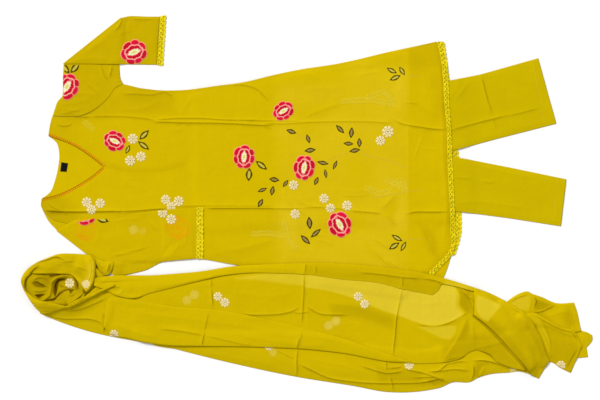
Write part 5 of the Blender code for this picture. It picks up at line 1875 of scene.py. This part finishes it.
def row_of(line, gap, turn, long, wide, shift=0.0, zigzag=0.0):
    """Stitches along a line in metres: x, y, way, length and width, every gap millimetres."""
    line = np.asarray(line)
    count = max(2, int(length(line) / (0.001 * gap)))
    spots = evenly(line, np.linspace(0, 1, count))
    ahead = np.gradient(spots, axis=0)
    way = np.arctan2(ahead[:, 1], ahead[:, 0])
    aside = np.column_stack([-np.sin(way), np.cos(way)]) * 0.001 * shift
    turns = way + turn + zigzag * (-1.0) ** np.arange(count)
    size = np.full((count, 2), (0.001 * long, 0.001 * wide))
    return np.column_stack([spots + aside, turns, size])


def stitched(name, colour, rows, cloth):
    """Lay stitches of one colour on the cloth."""
    unit = stitch_unit(name + "_unit", colour)
    rows = np.vstack(rows)
    sewn = grown(name, unit, rose_thread, rows[:, :2], *rows[:, 2:].T)
    bpy.data.objects.remove(unit)
    sewn_on(sewn, cloth)


def spray(stem, seed):
    """A stem with short straws to both sides."""
    random = np.random.default_rng(seed)
    line = metres(stem)
    rows = [row_of(line, 3.4, 0.0, 3.6, 0.9)]
    for side in (-1, 1):
        straws = row_of(line, 2.6, 1.5708, 11.0, 0.9, side * 5.0)
        straws[:, 2] -= side * random.uniform(0.4, 1.3, len(straws))
        straws[:, 3] *= random.uniform(0.6, 1.3, len(straws))
        rows.append(straws)
    return np.vstack(rows)


neck_line = flow(metres(NECK_FRONT), 0.002)
SPRAYS = [[921, 805, 994, 810, 1069, 799], [988, 815, 1040, 832, 1058, 810],
          [680, 448, 724, 451, 767, 443], [767, 481, 778, 432, 799, 410],
          [988, 572, 1021, 556, 1056, 564], [1042, 594, 1069, 583, 1091, 567],
          [1058, 580, 1085, 594, 1096, 567], [227, 751, 243, 740, 254, 729]]
TWIGS = [[799, 718, 821, 705], [972, 675, 996, 655], [883, 645, 923, 664, 964, 675],
         [983, 662, 1042, 648, 1101, 626], [1088, 875, 1129, 872], [1094, 435, 1139, 435],
         [1010, 545, 1075, 559, 1139, 567]]
for name, colour, rows in (
        ("neck_chain", "8a5606", [row_of(neck_line, 3.2, 0.0, 3.2, 1.4, 0.9)]),
        ("neck_ladder", "e06a08", [row_of(neck_line, 5.2, 1.5708, 6.0, 2.6, 4.6)]),
        ("sprays", "e0cc34", [spray(stem, 300 + i) for i, stem in enumerate(SPRAYS)]),
        ("twigs", "d2b84a", [row_of(metres(twig), 3.4, 0.0, 3.6, 0.9) for twig in TWIGS])):
    stitched(name, colour, rows, ["kameez_front_lawn"])
for name, line, leg in (("hem_upper", (1437, 917, 1453, 832, 1469, 748), "leg_left_cotton"),
                        ("hem_lower", (1502, 594, 1498, 540, 1493, 486), "leg_right_cotton")):
    stitched(name, "e6d040", [row_of(metres(line), 4.0, 0.0, 2.8, 0.8)], [leg])
knot_edge = metres([250, 373, 255, 351, 248, 324, 243, 302])
stitched("knot_edging", "e6d23a", [row_of(knot_edge, 3.0, 0.0, 4.0, 1.1, 0.0, 0.9)],
         ["dupatta_knot_band_voile"])


# ======================================================================================
# The scraps that the repeated pieces were grown from are cleared away.
# ======================================================================================
for spare in (lace_piece, open_leaf, small_leaf, blossom):
    bpy.data.objects.remove(spare)
